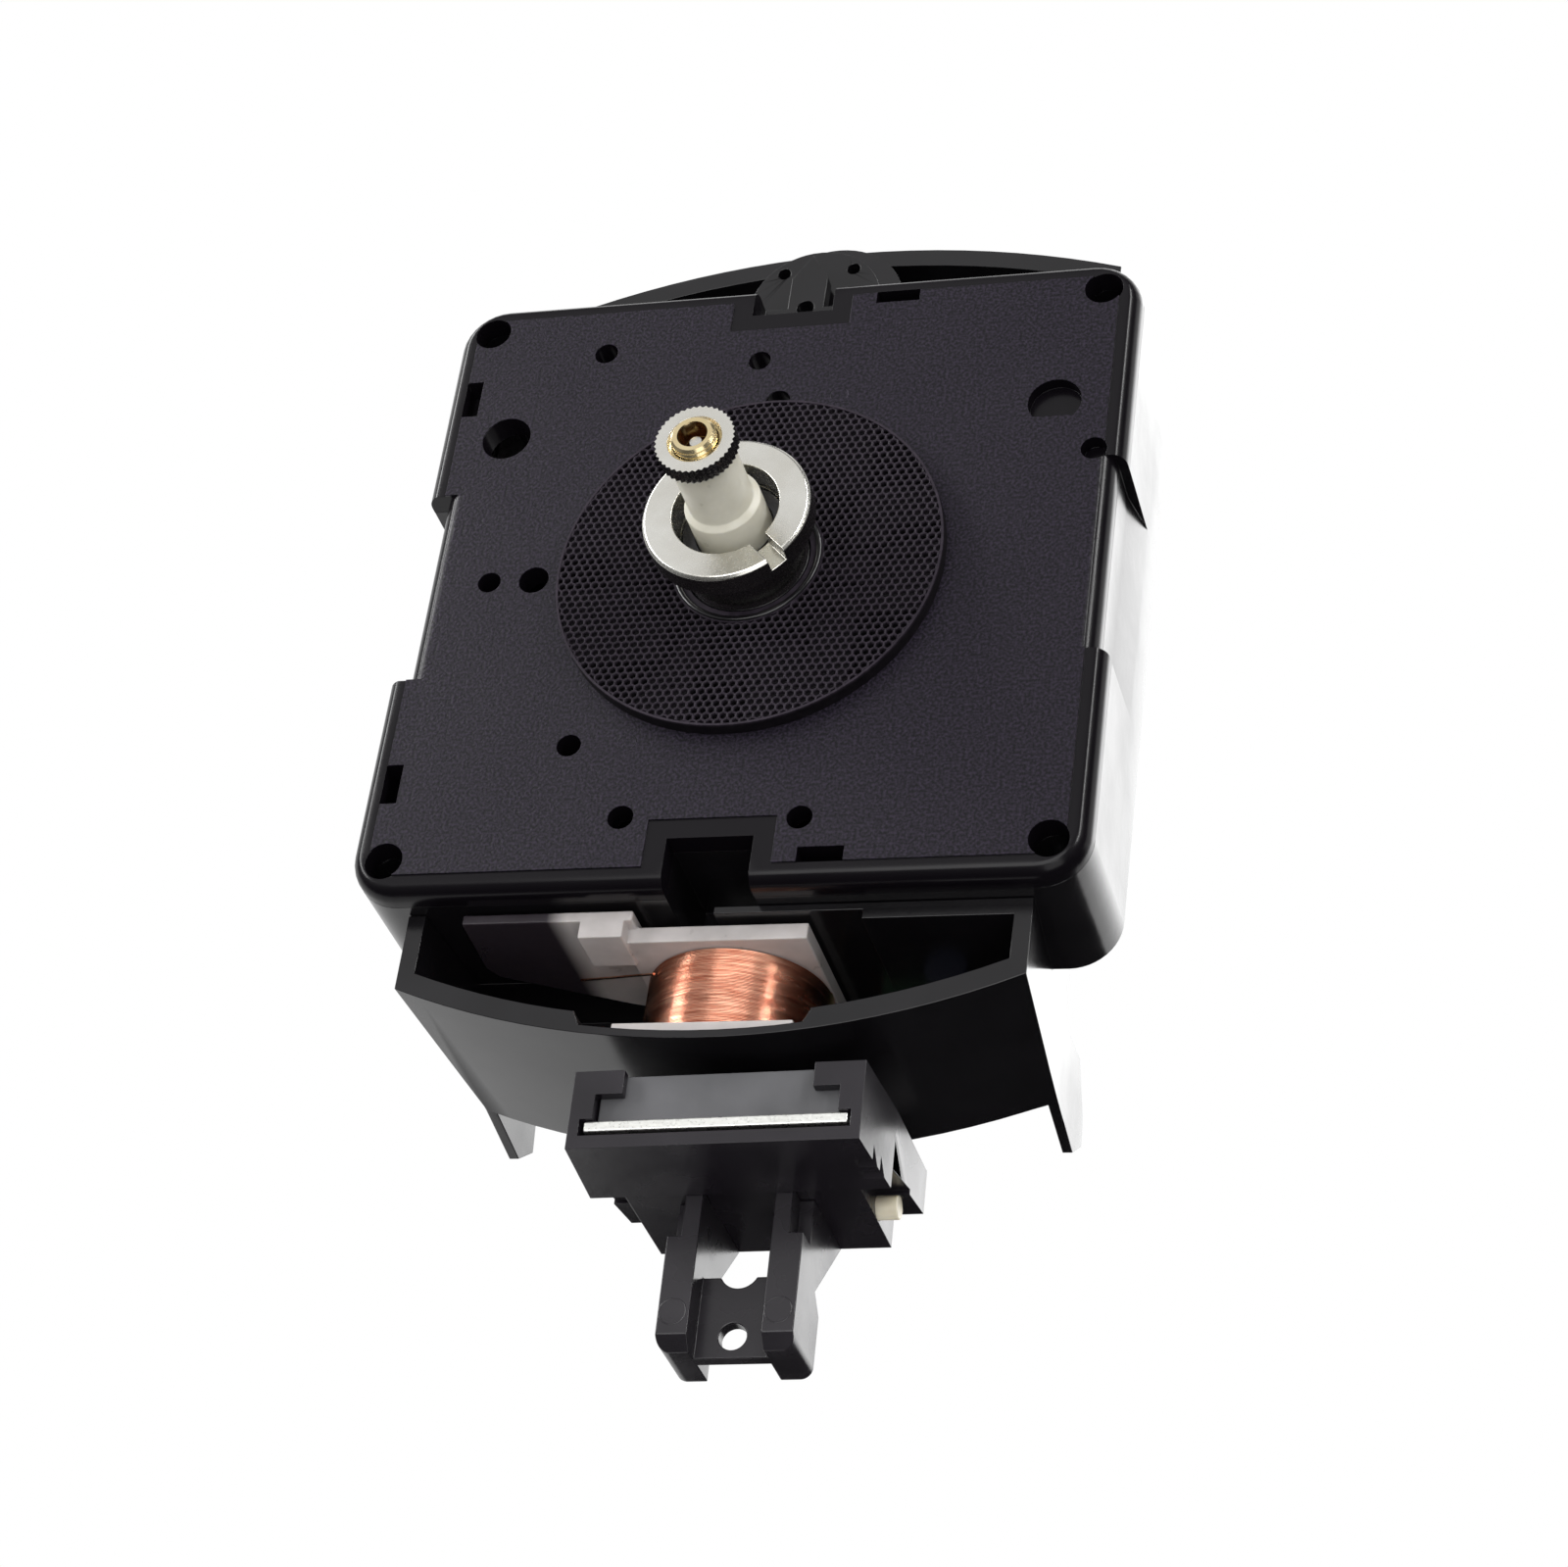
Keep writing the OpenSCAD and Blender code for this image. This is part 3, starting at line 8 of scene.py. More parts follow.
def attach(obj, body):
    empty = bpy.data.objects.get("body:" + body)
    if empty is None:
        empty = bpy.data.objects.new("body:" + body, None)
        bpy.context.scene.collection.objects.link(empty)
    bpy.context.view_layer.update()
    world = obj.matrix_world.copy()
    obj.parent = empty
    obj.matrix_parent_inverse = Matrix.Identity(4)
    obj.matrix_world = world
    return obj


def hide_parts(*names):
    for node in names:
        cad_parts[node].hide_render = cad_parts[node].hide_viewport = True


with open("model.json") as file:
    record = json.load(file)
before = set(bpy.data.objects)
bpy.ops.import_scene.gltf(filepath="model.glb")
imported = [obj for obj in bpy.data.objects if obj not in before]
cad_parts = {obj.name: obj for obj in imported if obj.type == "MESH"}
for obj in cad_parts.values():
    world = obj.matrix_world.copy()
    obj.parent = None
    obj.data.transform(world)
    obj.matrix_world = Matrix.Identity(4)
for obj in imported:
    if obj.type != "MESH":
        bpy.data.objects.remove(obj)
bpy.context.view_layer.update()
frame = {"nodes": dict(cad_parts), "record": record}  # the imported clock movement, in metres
mm = 0.001
stageScene = bpy.context.scene
print("clock movement loaded,", len(frame["nodes"]), "nodes")


def linked(name, data):
    thing = bpy.data.objects.new(name, data)
    stageScene.collection.objects.link(thing)
    return thing


def turnedTo(place, right, up, back):
    # a placement from a point and the directions of its three axes
    return Matrix.Translation(place) @ Matrix((right, up, back)).transposed().to_4x4()


# the camera stands where the photograph was taken; lens and sensor in millimetres
viewpoint = {
    "place": (0.082585, -0.167158, 0.221417),
    "right": (0.95931, 0.12192, -0.25466),
    "up": (0.03809, 0.83783, 0.54460),
    "back": (0.27976, -0.53214, 0.79910),
    "lens": 87.72, "sensor": 36, "nearest": 0.01,
}
camera = bpy.data.cameras.new("photoCamera")
camera.lens = viewpoint["lens"]
camera.sensor_width = viewpoint["sensor"]
camera.sensor_fit = "HORIZONTAL"
camera.clip_start = viewpoint["nearest"]
cameraObject = linked("photoCamera", camera)
cameraObject.matrix_world = turnedTo(
    viewpoint["place"], viewpoint["right"], viewpoint["up"], viewpoint["back"],
)
stageScene.camera = cameraObject
stageScene.view_settings.view_transform = "Standard"
print("camera placed")


# nodes for trees of every kind: materials, world and geometry
def put(tree, kind, feeds=None, **settings):
    # feeds maps the node's inputs to sockets or plain values
    node = tree.nodes.new(kind)
    for name, value in settings.items():
        setattr(node, name, value)
    for name, value in (feeds or {}).items():
        if isinstance(value, bpy.types.NodeSocket):
            tree.links.new(value, node.inputs[name])
        else:
            node.inputs[name].default_value = value
    return node


def sums(tree, operation, first, second):
    return put(tree, "ShaderNodeMath", {0: first, 1: second}, operation=operation).outputs[0]


def vectors(tree, operation, first, second=(0, 0, 0)):
    # a length or a dot product comes out as a number
    node = put(tree, "ShaderNodeVectorMath", {0: first, 1: second}, operation=operation)
    return node.outputs["Value" if operation in ("LENGTH", "DOT_PRODUCT") else "Vector"]


def scaled(tree, vector, factor):
    return put(tree, "ShaderNodeVectorMath", {0: vector, "Scale": factor}, operation="SCALE").outputs[0]


def axes(tree, vector):
    return put(tree, "ShaderNodeSeparateXYZ", {0: vector}).outputs


def sideways(tree, vector):
    # its part across the hand axis
    return vectors(tree, "MULTIPLY", vector, (1, 1, 0))


def ranged(tree, fac, low, high, start=0.3, end=0.7):
    # fac between start and end is spread from low to high
    spread = {"Value": fac, "From Min": start, "From Max": end, "To Min": low, "To Max": high}
    return put(tree, "ShaderNodeMapRange", spread).outputs["Result"]


# helpers for the finishes; widths and depths in millimetres
def opened(material):
    # its tree, its shader and its texture coordinates
    tree = material.node_tree
    return tree, tree.nodes["Principled BSDF"], tree.nodes["coordinates"].outputs


def newFinish(name, **sockets):
    material = bpy.data.materials.new(name)
    material.use_nodes = True
    put(material.node_tree, "ShaderNodeTexCoord", name="coordinates")
    tree, shader, coords = opened(material)
    for socket, value in sockets.items():
        shader.inputs[socket.replace("_", " ")].default_value = value
    return material, tree, shader, coords["Object"]


def speckle(tree, place, size, detail=3.0, stretch=None):
    # noise whose blotches are about as wide as size
    if stretch:
        place = put(tree, "ShaderNodeMapping", {"Vector": place, "Scale": stretch}).outputs[0]
    noise = put(tree, "ShaderNodeTexNoise", {"Vector": place, "Scale": 1 / (size * mm), "Detail": detail})
    return noise.outputs["Fac"]


def coloured(tree, fac, first, second, shader, **settings):
    mix = put(tree, "ShaderNodeMix", {0: fac, 6: first, 7: second}, data_type="RGBA", **settings)
    tree.links.new(mix.outputs[2], shader.inputs["Base Color"])


def tinted(tree, fac, dark, light, shader):
    coloured(tree, fac, (*dark, 1), (*light, 1), shader)


def colourSoFar(shader):
    return shader.inputs["Base Color"].links[0].from_socket


def shaded(tree, level, shader):
    # painted shade: multiplies the base colour by a level
    coloured(tree, 1, colourSoFar(shader), level, shader, blend_type="MULTIPLY")


def replaced(tree, fac, colour, shader):
    # another colour where fac is 0, the base colour made so far where it is 1
    coloured(tree, fac, (*colour, 1), colourSoFar(shader), shader)


def roughened(tree, fac, low, high, shader):
    tree.links.new(ranged(tree, fac, low, high), shader.inputs["Roughness"])


def bumped(tree, heights, shader):
    # pairs of a height socket and its depth, laid over each other
    previous = None
    for fac, depth in heights:
        feeds = {"Strength": 1.0, "Distance": depth * mm, "Height": fac}
        if previous:
            feeds["Normal"] = previous
        previous = put(tree, "ShaderNodeBump", feeds).outputs["Normal"]
    tree.links.new(previous, shader.inputs["Normal"])


def shadeByLostGloss(tree, coords, kept, look, shader):
    # painted shade: no gloss within a square round the hand axis, but for the faces that are kept, so that
    # the hollows there show dark;
    # look holds half the square's width as inside, and the gloss of the rest
    shadedGloss = 0.02
    fade = 0.1
    away = axes(tree, vectors(tree, "ABSOLUTE", coords["Object"]))
    wider = sums(tree, "MAXIMUM", away["X"], away["Y"])
    outside = ranged(tree, wider, 0, 1, (look["inside"] - fade) * mm, look["inside"] * mm)
    level = ranged(tree, sums(tree, "MAXIMUM", kept, outside), shadedGloss, look["gloss"], 0, 1)
    tree.links.new(level, shader.inputs["Specular IOR Level"])


# the finishes
moulded = {"base": (0.0040, 0.0036, 0.0044), "rough": 0.19}
nickel = {"dark": (0.74, 0.72, 0.66), "light": (0.85, 0.84, 0.79), "rough": 0.25, "grain": 0.2}


def sparkCoverFinish():
    # grained on the raised panel, plain gloss on the rim and sides
    look = {
        "dark": (0.0015, 0.001, 0.003), "light": (0.021, 0.0155, 0.028), "plain": (0.004, 0.0032, 0.0046),
        "grain": 0.23, "grainDepth": 0.05, "wave": 9.0, "waveDepth": 0.05, "rimLow": -0.12, "rimHigh": -0.04,
        "panelRough": 0.26, "gloss": 0.22, "inside": 26.0,
    }
    material, tree, shader, place = newFinish(
        "sparkErodedCover", Roughness=0.48, Specular_IOR_Level=look["gloss"],
    )
    panel = ranged(tree, axes(tree, place)["Z"], 0, 1, look["rimLow"] * mm, look["rimHigh"] * mm)
    fine = speckle(tree, place, look["grain"], 4.0)
    broad = speckle(tree, place, look["wave"], 2.0)
    tinted(tree, ranged(tree, fine, 0, 1, 0.40, 0.66), look["dark"], look["light"], shader)
    replaced(tree, panel, look["plain"], shader)
    rougher = sums(tree, "MULTIPLY", panel, look["panelRough"])
    rough = sums(tree, "ADD", rougher, ranged(tree, broad, 0.18, 0.26))
    tree.links.new(rough, shader.inputs["Roughness"])
    grained = sums(tree, "MULTIPLY", fine, panel)
    bumped(tree, [(broad, look["waveDepth"]), (grained, look["grainDepth"])], shader)
    coords = opened(material)[2]
    # painted shade: cover faces that do not look up lose their gloss inside the square
    shadeByLostGloss(tree, coords, ranged(tree, axes(tree, coords["Normal"])["Z"], 0, 1), look, shader)
    return material


def glossBlackFinish(name, base, rough, scratch=0.004):
    look = {"flow": 6.0, "flowDepth": 0.03, "scratches": 0.35, "lighter": 1.6}
    material, tree, shader, place = newFinish(name, Roughness=rough)
    flow = speckle(tree, place, look["flow"])
    fine = speckle(tree, place, look["scratches"])
    tinted(tree, ranged(tree, flow, 0, 1), base, tuple(look["lighter"] * part for part in base), shader)
    roughened(tree, flow, rough * 0.85, rough * 1.25, shader)
    bumped(tree, [(flow, look["flowDepth"]), (fine, scratch)], shader)
    return material


def caseFinish():
    # gloss black with painted shade: the faces turned to the hand axis inside the walls lose their gloss
    look = {"inside": 26.9, "gloss": 0.5, "turnedIn": -0.6, "turnedOut": -0.3}
    material = glossBlackFinish("caseBlack", **moulded)
    tree, shader, coords = opened(material)
    away = vectors(tree, "DOT_PRODUCT", sideways(tree, coords["Object"]), coords["Normal"])
    outwards = ranged(tree, away, 0, 1, look["turnedIn"] * mm, look["turnedOut"] * mm)
    # painted shade: inward-turned faces inside the walls are left without gloss
    shadeByLostGloss(tree, coords, outwards, look, shader)
    return material


def rubberFinish():
    # black rubber, with painted shade that darkens it towards the bottom of the cells
    look = {
        "dark": (0.016, 0.012, 0.018), "light": (0.031, 0.024, 0.034), "dust": 0.5, "dustDepth": 0.02,
        # pit, low and high set the painted shade: its level at the cell floors and the heights it spans
        "pit": 0.22, "low": 0.92, "high": 1.14,
    }
    material, tree, shader, place = newFinish("blackRubber", Roughness=0.6, Specular_IOR_Level=0.17)
    dust = speckle(tree, place, look["dust"], 4.0)
    tinted(tree, ranged(tree, dust, 0, 1), look["dark"], look["light"], shader)
    height = axes(tree, place)["Z"]
    # painted shade: the colour is darkened by height, from the pit level at the cell floors to full at the
    # crowns
    shaded(tree, ranged(tree, height, look["pit"], 1, look["low"] * mm, look["high"] * mm), shader)
    roughened(tree, dust, 0.5, 0.68, shader)
    bumped(tree, [(dust, look["dustDepth"])], shader)
    return material


def metalFinish(name, dark, light, rough, grain, depth, stretch=None, vary=0.3):
    cloud = 3.0
    material, tree, shader, place = newFinish(name, Metallic=1.0, Roughness=rough)
    fine = speckle(tree, place, grain, stretch=stretch)
    broad = speckle(tree, place, cloud)
    tinted(tree, ranged(tree, broad, 0, 1), dark, light, shader)
    roughened(tree, fine, rough * (1 - vary), rough * (1 + vary), shader)
    bumped(tree, [(fine, depth)], shader)
    return material


def sideShadedNickelFinish(name, side, bore):
    # satin nickel with painted shade on its turned or knurled sides, which are darker than its faces and its
    # bore
    edge = 0.1
    material = metalFinish(name, **nickel, depth=0.0009, vary=0.18)
    tree, shader, coords = opened(material)
    # painted shade: the colour falls to the side level where the faces turn sideways
    faces = ranged(tree, axes(tree, coords["Normal"])["Z"], side, 1, 0.25, 0.7)
    radius = vectors(tree, "LENGTH", sideways(tree, coords["Object"]))
    within = ranged(tree, radius, 1, 0, bore * mm, (bore + edge) * mm)
    shaded(tree, sums(tree, "MAXIMUM", faces, within), shader)
    return material


def milkyFinish(name, dark, light, rough, glow):
    look = {"cloud": 2.2, "cloudDepth": 0.03, "fine": 0.3, "fineDepth": 0.004, "reach": 1.2}
    material, tree, shader, place = newFinish(
        name, Roughness=rough, Subsurface_Weight=glow, Subsurface_Radius=(1.0, 0.9, 0.7),
        Subsurface_Scale=look["reach"] * mm,
    )
    cloud = speckle(tree, place, look["cloud"])
    fine = speckle(tree, place, look["fine"], 2.0)
    tinted(tree, ranged(tree, cloud, 0, 1), dark, light, shader)
    roughened(tree, cloud, rough * 0.8, rough * 1.2, shader)
    bumped(tree, [(cloud, look["cloudDepth"]), (fine, look["fineDepth"])], shader)
    return material


def windingFinish():
    # enamelled wire whose tones run along the turns
    look = {"dark": (0.66, 0.26, 0.16), "light": (1.0, 0.60, 0.43), "strand": 0.3, "wander": 0.9}
    material, tree, shader, place = newFinish("enamelledCopper", Metallic=1.0, Roughness=0.22)
    strands = speckle(tree, place, look["strand"], 3.0, (0.12, 1.0, 0.12))
    wander = speckle(tree, place, look["wander"], 2.0, (0.25, 1.0, 0.25))
    tinted(tree, ranged(tree, strands, 0, 1), look["dark"], look["light"], shader)
    roughened(tree, wander, 0.16, 0.28, shader)
    return material


def brassShadedBoreFinish():
    # polished brass, with painted shade inside the bore
    look = {
        # bore is the colour of the painted shade inside the bore radius
        "dark": (0.78, 0.61, 0.32), "light": (0.93, 0.79, 0.49), "bore": (0.045, 0.014, 0.008),
        "boreRadius": 1.12, "edge": 0.04,
    }
    material = metalFinish("turnedBrass", look["dark"], look["light"], rough=0.2, grain=0.1, depth=0.002)
    tree, shader, coords = opened(material)
    radius = vectors(tree, "LENGTH", sideways(tree, coords["Object"]))
    start = look["boreRadius"] * mm
    # painted shade: the bore colour stands inside the bore radius
    replaced(tree, ranged(tree, radius, 0, 1, start, start + look["edge"] * mm), look["bore"], shader)
    return material


def bobbinFinish():
    # milky plastic round the coil, with painted shade that darkens the far part of its wing
    look = {
        "dark": (0.41, 0.385, 0.375), "light": (0.50, 0.47, 0.46), "smoke": (0.022, 0.017, 0.022),
        "from": -12.6, "to": -11.0,
    }
    material = milkyFinish("bobbinPlastic", look["dark"], look["light"], rough=0.34, glow=0.2)
    tree, shader, coords = opened(material)
    across = axes(tree, coords["Object"])["X"]
    # painted shade over the wing past the given X range
    replaced(tree, ranged(tree, across, 0, 1, look["from"] * mm, look["to"] * mm), look["smoke"], shader)
    return material


def boardFinish():
    look = {"dark": (0.008, 0.05, 0.018), "light": (0.015, 0.09, 0.03), "weave": 1.2, "weaveDepth": 0.01}
    material, tree, shader, place = newFinish("greenBoard", Roughness=0.4, Coat_Weight=0.3)
    threads = {"Vector": place, "Scale": 1 / (look["weave"] * mm), "Distortion": 1.0}
    weave = put(tree, "ShaderNodeTexWave", threads).outputs["Fac"]
    tinted(tree, weave, look["dark"], look["light"], shader)
    bumped(tree, [(weave, look["weaveDepth"])], shader)
    return material


finishes = {
    "cover_black": sparkCoverFinish(),
    "case_black": glossBlackFinish("mouldedBlack", **moulded),
    "rubber": rubberFinish(),
    "nickel": metalFinish("satinNickel", **nickel, depth=0.0006, vary=0.12),
    "steel": metalFinish(
        "brushedSteel", (0.72, 0.71, 0.68), (0.84, 0.83, 0.80), rough=0.28, grain=0.12, depth=0.004,
        stretch=(0.06, 1, 1),
    ),
    "brass": brassShadedBoreFinish(),
    "white_plastic": milkyFinish("milkyTube", (0.56, 0.54, 0.45), (0.66, 0.64, 0.55), rough=0.32, glow=0.35),
    "wheel_plastic": milkyFinish("wheelPlastic", (0.55, 0.52, 0.42), (0.66, 0.62, 0.52), rough=0.4, glow=0.2),
    "copper": windingFinish(),
    "magnet_grey": glossBlackFinish("ferriteGrey", (0.062, 0.062, 0.066), rough=0.5, scratch=0.012),
    "board_green": boardFinish(),
    "blue_sleeve": glossBlackFinish("blueSleeve", (0.012, 0.018, 0.05), rough=0.4),
    "cream_plastic": milkyFinish("creamPlug", (0.62, 0.56, 0.42), (0.75, 0.70, 0.56), rough=0.35, glow=0.3),
}
print("finishes made:", len(finishes))

# each CAD node takes the finish of its material slot, or its own variant of it
bodyOf = {}
for bodyName, nodeNames in frame["record"]["behaviour"]["bodies"].items():
    for nodeName in nodeNames:
        bodyOf[nodeName] = bodyName
plainSlots = {
    "front_cover": "cover_black", "movement_case": "case_black", "centre_bush": "case_black",
    "rubber_washer": "rubber", "ring_nut": "nickel", "hand_nut": "nickel", "hour_wheel": "white_plastic",
    "minute_arbor": "brass", "minute_wheel": "wheel_plastic", "seconds_arbor": "steel",
    "seconds_wheel": "wheel_plastic", "third_wheel": "wheel_plastic", "intermediate_wheel": "wheel_plastic",
    "rotor_pinion": "wheel_plastic", "rotor_magnet": "magnet_grey", "motion_wheel": "wheel_plastic",
    "setting_knob": "case_black", "train_plate": "case_black", "stator": "steel", "core_bar": "steel",
    "motor_bobbin": "case_black", "motor_coil": "copper", "circuit_board": "board_green",
    "quartz_crystal": "steel", "chip_cover": "case_black", "contact_plus": "nickel",
    "contact_minus": "nickel", "pendulum_housing": "case_black", "coil_bobbin": "white_plastic",
    "coil_body": "copper", "coil_wire": "copper", "coil_lead": "copper", "pendulum_board": "board_green",
    "drive_capacitor": "blue_sleeve", "pivot_pin": "steel", "pivot_clip": "steel",
    "hanger_arm": "case_black", "magnet_holder": "case_black", "rod_clip": "case_black",
    "magnet": "magnet_grey", "keeper_plate": "steel", "holder_plug": "cream_plastic",
}
ownFinish = {
    "movement_case": caseFinish(),
    "contact_minus": metalFinish(
        "blackenedSpring", (0.02, 0.018, 0.02), (0.05, 0.045, 0.05), rough=0.35, grain=0.2, depth=0.001,
    ),
    "magnet_holder": glossBlackFinish("holderBlack", (0.009, 0.0075, 0.010), rough=0.24),
    "rod_clip": glossBlackFinish("clipBlack", (0.013, 0.0115, 0.014), rough=0.26),
    # painted shade on the nuts' sides, at the given side level
    "ring_nut": sideShadedNickelFinish("turnedNickel", side=0.3, bore=4.3),
    "hand_nut": sideShadedNickelFinish("knurledNickel", side=0.26, bore=2.3),
    "coil_bobbin": bobbinFinish(),
    "keeper_plate": metalFinish(
        "zincKeeper", (0.88, 0.88, 0.84), (0.96, 0.96, 0.93), rough=0.34, grain=0.2, depth=0.0008,
    ),
}


def finishOf(nodeName):
    return ownFinish.get(nodeName, finishes[plainSlots[nodeName]])


for nodeName, nodeObject in frame["nodes"].items():
    nodeObject.data.materials.clear()
    nodeObject.data.materials.append(finishOf(nodeName))
print("finishes laid on the CAD nodes")

# pieces with rounded edges that stand in for CAD nodes; widths in millimetres, angles in degrees
edging = {
    "crease": 34, "segments": 2, "weldGap": 0.002, "flatAngle": 0.5,
    "moreSegments": {"keeper_plate": 3},
    # nodes whose large faces are cut into triangles before their edges are rounded
    "splitFaces": ("front_cover", "movement_case", "pendulum_housing", "magnet_holder"),
    "widths": {
        "front_cover": 0.03, "movement_case": 0.06, "pendulum_housing": 0.07, "magnet_holder": 0.05,
        "centre_bush": 0.1, "ring_nut": 0.09, "hour_wheel": 0.1, "coil_bobbin": 0.12, "rod_clip": 0.1,
        "hanger_arm": 0.12, "setting_knob": 0.1, "magnet": 0.12, "keeper_plate": 0.16, "holder_plug": 0.1,
        "pivot_pin": 0.1, "pivot_clip": 0.06,
    },
}


def flattened(piece):
    # the evaluated result as a plain mesh, with the modifiers gone
    bpy.context.view_layer.update()
    graph = bpy.context.evaluated_depsgraph_get()
    mesh = bpy.data.meshes.new_from_object(piece.evaluated_get(graph))
    piece.modifiers.clear()
    old = piece.data
    piece.data = mesh
    bpy.data.meshes.remove(old)
    return piece


def marked(mesh, crease=edging["crease"]):
    # smooth faces, with sharp edges where they meet at more than the crease
    work = bmesh.new()
    work.from_mesh(mesh)
    for face in work.faces:
        face.smooth = True
    for edge in work.edges:
        edge.smooth = edge.calc_face_angle(0) < math.radians(crease)
    work.to_mesh(mesh)
    work.free()


def dressed(nodeName, width):
    # a copy of a CAD node with its points merged, its flat faces joined and its edges rounded
    mesh = frame["nodes"][nodeName].data.copy()
    work = bmesh.new()
    work.from_mesh(mesh)
    bmesh.ops.remove_doubles(work, verts=work.verts, dist=edging["weldGap"] * mm)
    flat = math.radians(edging["flatAngle"])
    bmesh.ops.dissolve_limit(work, angle_limit=flat, verts=work.verts, edges=work.edges)
    if nodeName in edging["splitFaces"]:
        bmesh.ops.triangulate(work, faces=[face for face in work.faces if len(face.verts) > 4])
    work.to_mesh(mesh)
    work.free()
    piece = linked(nodeName.replace("_", "") + "Finished", mesh)
    marked(mesh)
    bevel = piece.modifiers.new("softEdge", "BEVEL")
    bevel.width = width * mm
    bevel.segments = edging["moreSegments"].get(nodeName, edging["segments"])
    bevel.limit_method = "ANGLE"
    bevel.angle_limit = math.radians(edging["crease"])
    bevel.use_clamp_overlap = False
    bevel.harden_normals = True
    flattened(piece)
    piece.data.materials.clear()
    piece.data.materials.append(finishOf(nodeName))
    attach(piece, bodyOf[nodeName])
    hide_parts(nodeName)


for nodeName, width in edging["widths"].items():
    dressed(nodeName, width)
print("edges softened on", len(edging["widths"]), "pieces")


# helpers for the pieces made by Geometry Nodes
def newTree(name, values):
    # one named input for each value, and one for the finish
    tree = bpy.data.node_groups.new(name, "GeometryNodeTree")
    for label, value in values.items():
        kind = "Vector" if isinstance(value, tuple) else "Float"
        tree.interface.new_socket(label, in_out="INPUT", socket_type="NodeSocket" + kind)
    tree.interface.new_socket("Finish", in_out="INPUT", socket_type="NodeSocketMaterial")
    tree.interface.new_socket("Geometry", in_out="OUTPUT", socket_type="NodeSocketGeometry")
    return tree, tree.nodes.new("NodeGroupInput").outputs, tree.nodes.new("NodeGroupOutput")


def joined(tree, parts):
    join = tree.nodes.new("GeometryNodeJoinGeometry")
    for part in reversed(parts):
        tree.links.new(part, join.inputs[0])
    return join.outputs[0]


def placed(tree, geometry, **changes):
    return put(tree, "GeometryNodeTransform", {"Geometry": geometry, **changes}).outputs[0]


def upwards(tree, height):
    return put(tree, "ShaderNodeCombineXYZ", {"Z": height}).outputs[0]


def ended(tree, given, end, geometry):
    # real geometry in the finish that was given
    real = put(tree, "GeometryNodeRealizeInstances", {"Geometry": geometry})
    painted = put(tree, "GeometryNodeSetMaterial", {"Geometry": real.outputs[0], "Material": given["Finish"]})
    tree.links.new(painted.outputs[0], end.inputs[0])


def grown(name, tree, values):
    # an object made by the tree alone, left as a plain mesh
    piece = linked(name, bpy.data.meshes.new(name))
    modifier = piece.modifiers.new("grow", "NODES")
    modifier.node_group = tree
    for item in tree.interface.items_tree:
        if item.in_out == "INPUT":
            modifier[item.identifier] = values[item.name]
    return flattened(piece)


def lathed(name, profile, middle=(0, 0, 0), steps=128, crease=edging["crease"]):
    # a closed profile of radii and heights turned round an upright axis
    work = bmesh.new()
    rows = []
    for step in range(steps):
        angle = math.tau * step / steps
        row = []
        for radius, height in profile:
            point = Vector((radius * math.cos(angle), radius * math.sin(angle), height))
            row.append(work.verts.new(point + Vector(middle)))
        rows.append(row)
    for step in range(steps):
        here = rows[step]
        there = rows[(step + 1) % steps]
        for side in range(len(profile)):
            work.faces.new((here[side - 1], there[side - 1], there[side], here[side]))
    bmesh.ops.recalc_face_normals(work, faces=work.faces)
    mesh = bpy.data.meshes.new(name)
    work.to_mesh(mesh)
    work.free()
    marked(mesh, crease)
    return linked(name, mesh)


# hexagonal cells in the washer's face
washerCells = {
    "Outer": 15.0 * mm, "Inner": 5.9 * mm, "Top": 1.2 * mm,
    "Pitch": 0.66 * mm, "Wall": 0.09 * mm, "Depth": 0.3 * mm,
}


def cellWall(tree, top, foot, height):
    # a hexagonal band that narrows towards its foot
    sizes = {"Vertices": 6, "Radius Top": top, "Radius Bottom": foot, "Depth": height}
    return put(tree, "GeometryNodeMeshCone", sizes, fill_type="NONE").outputs["Mesh"]


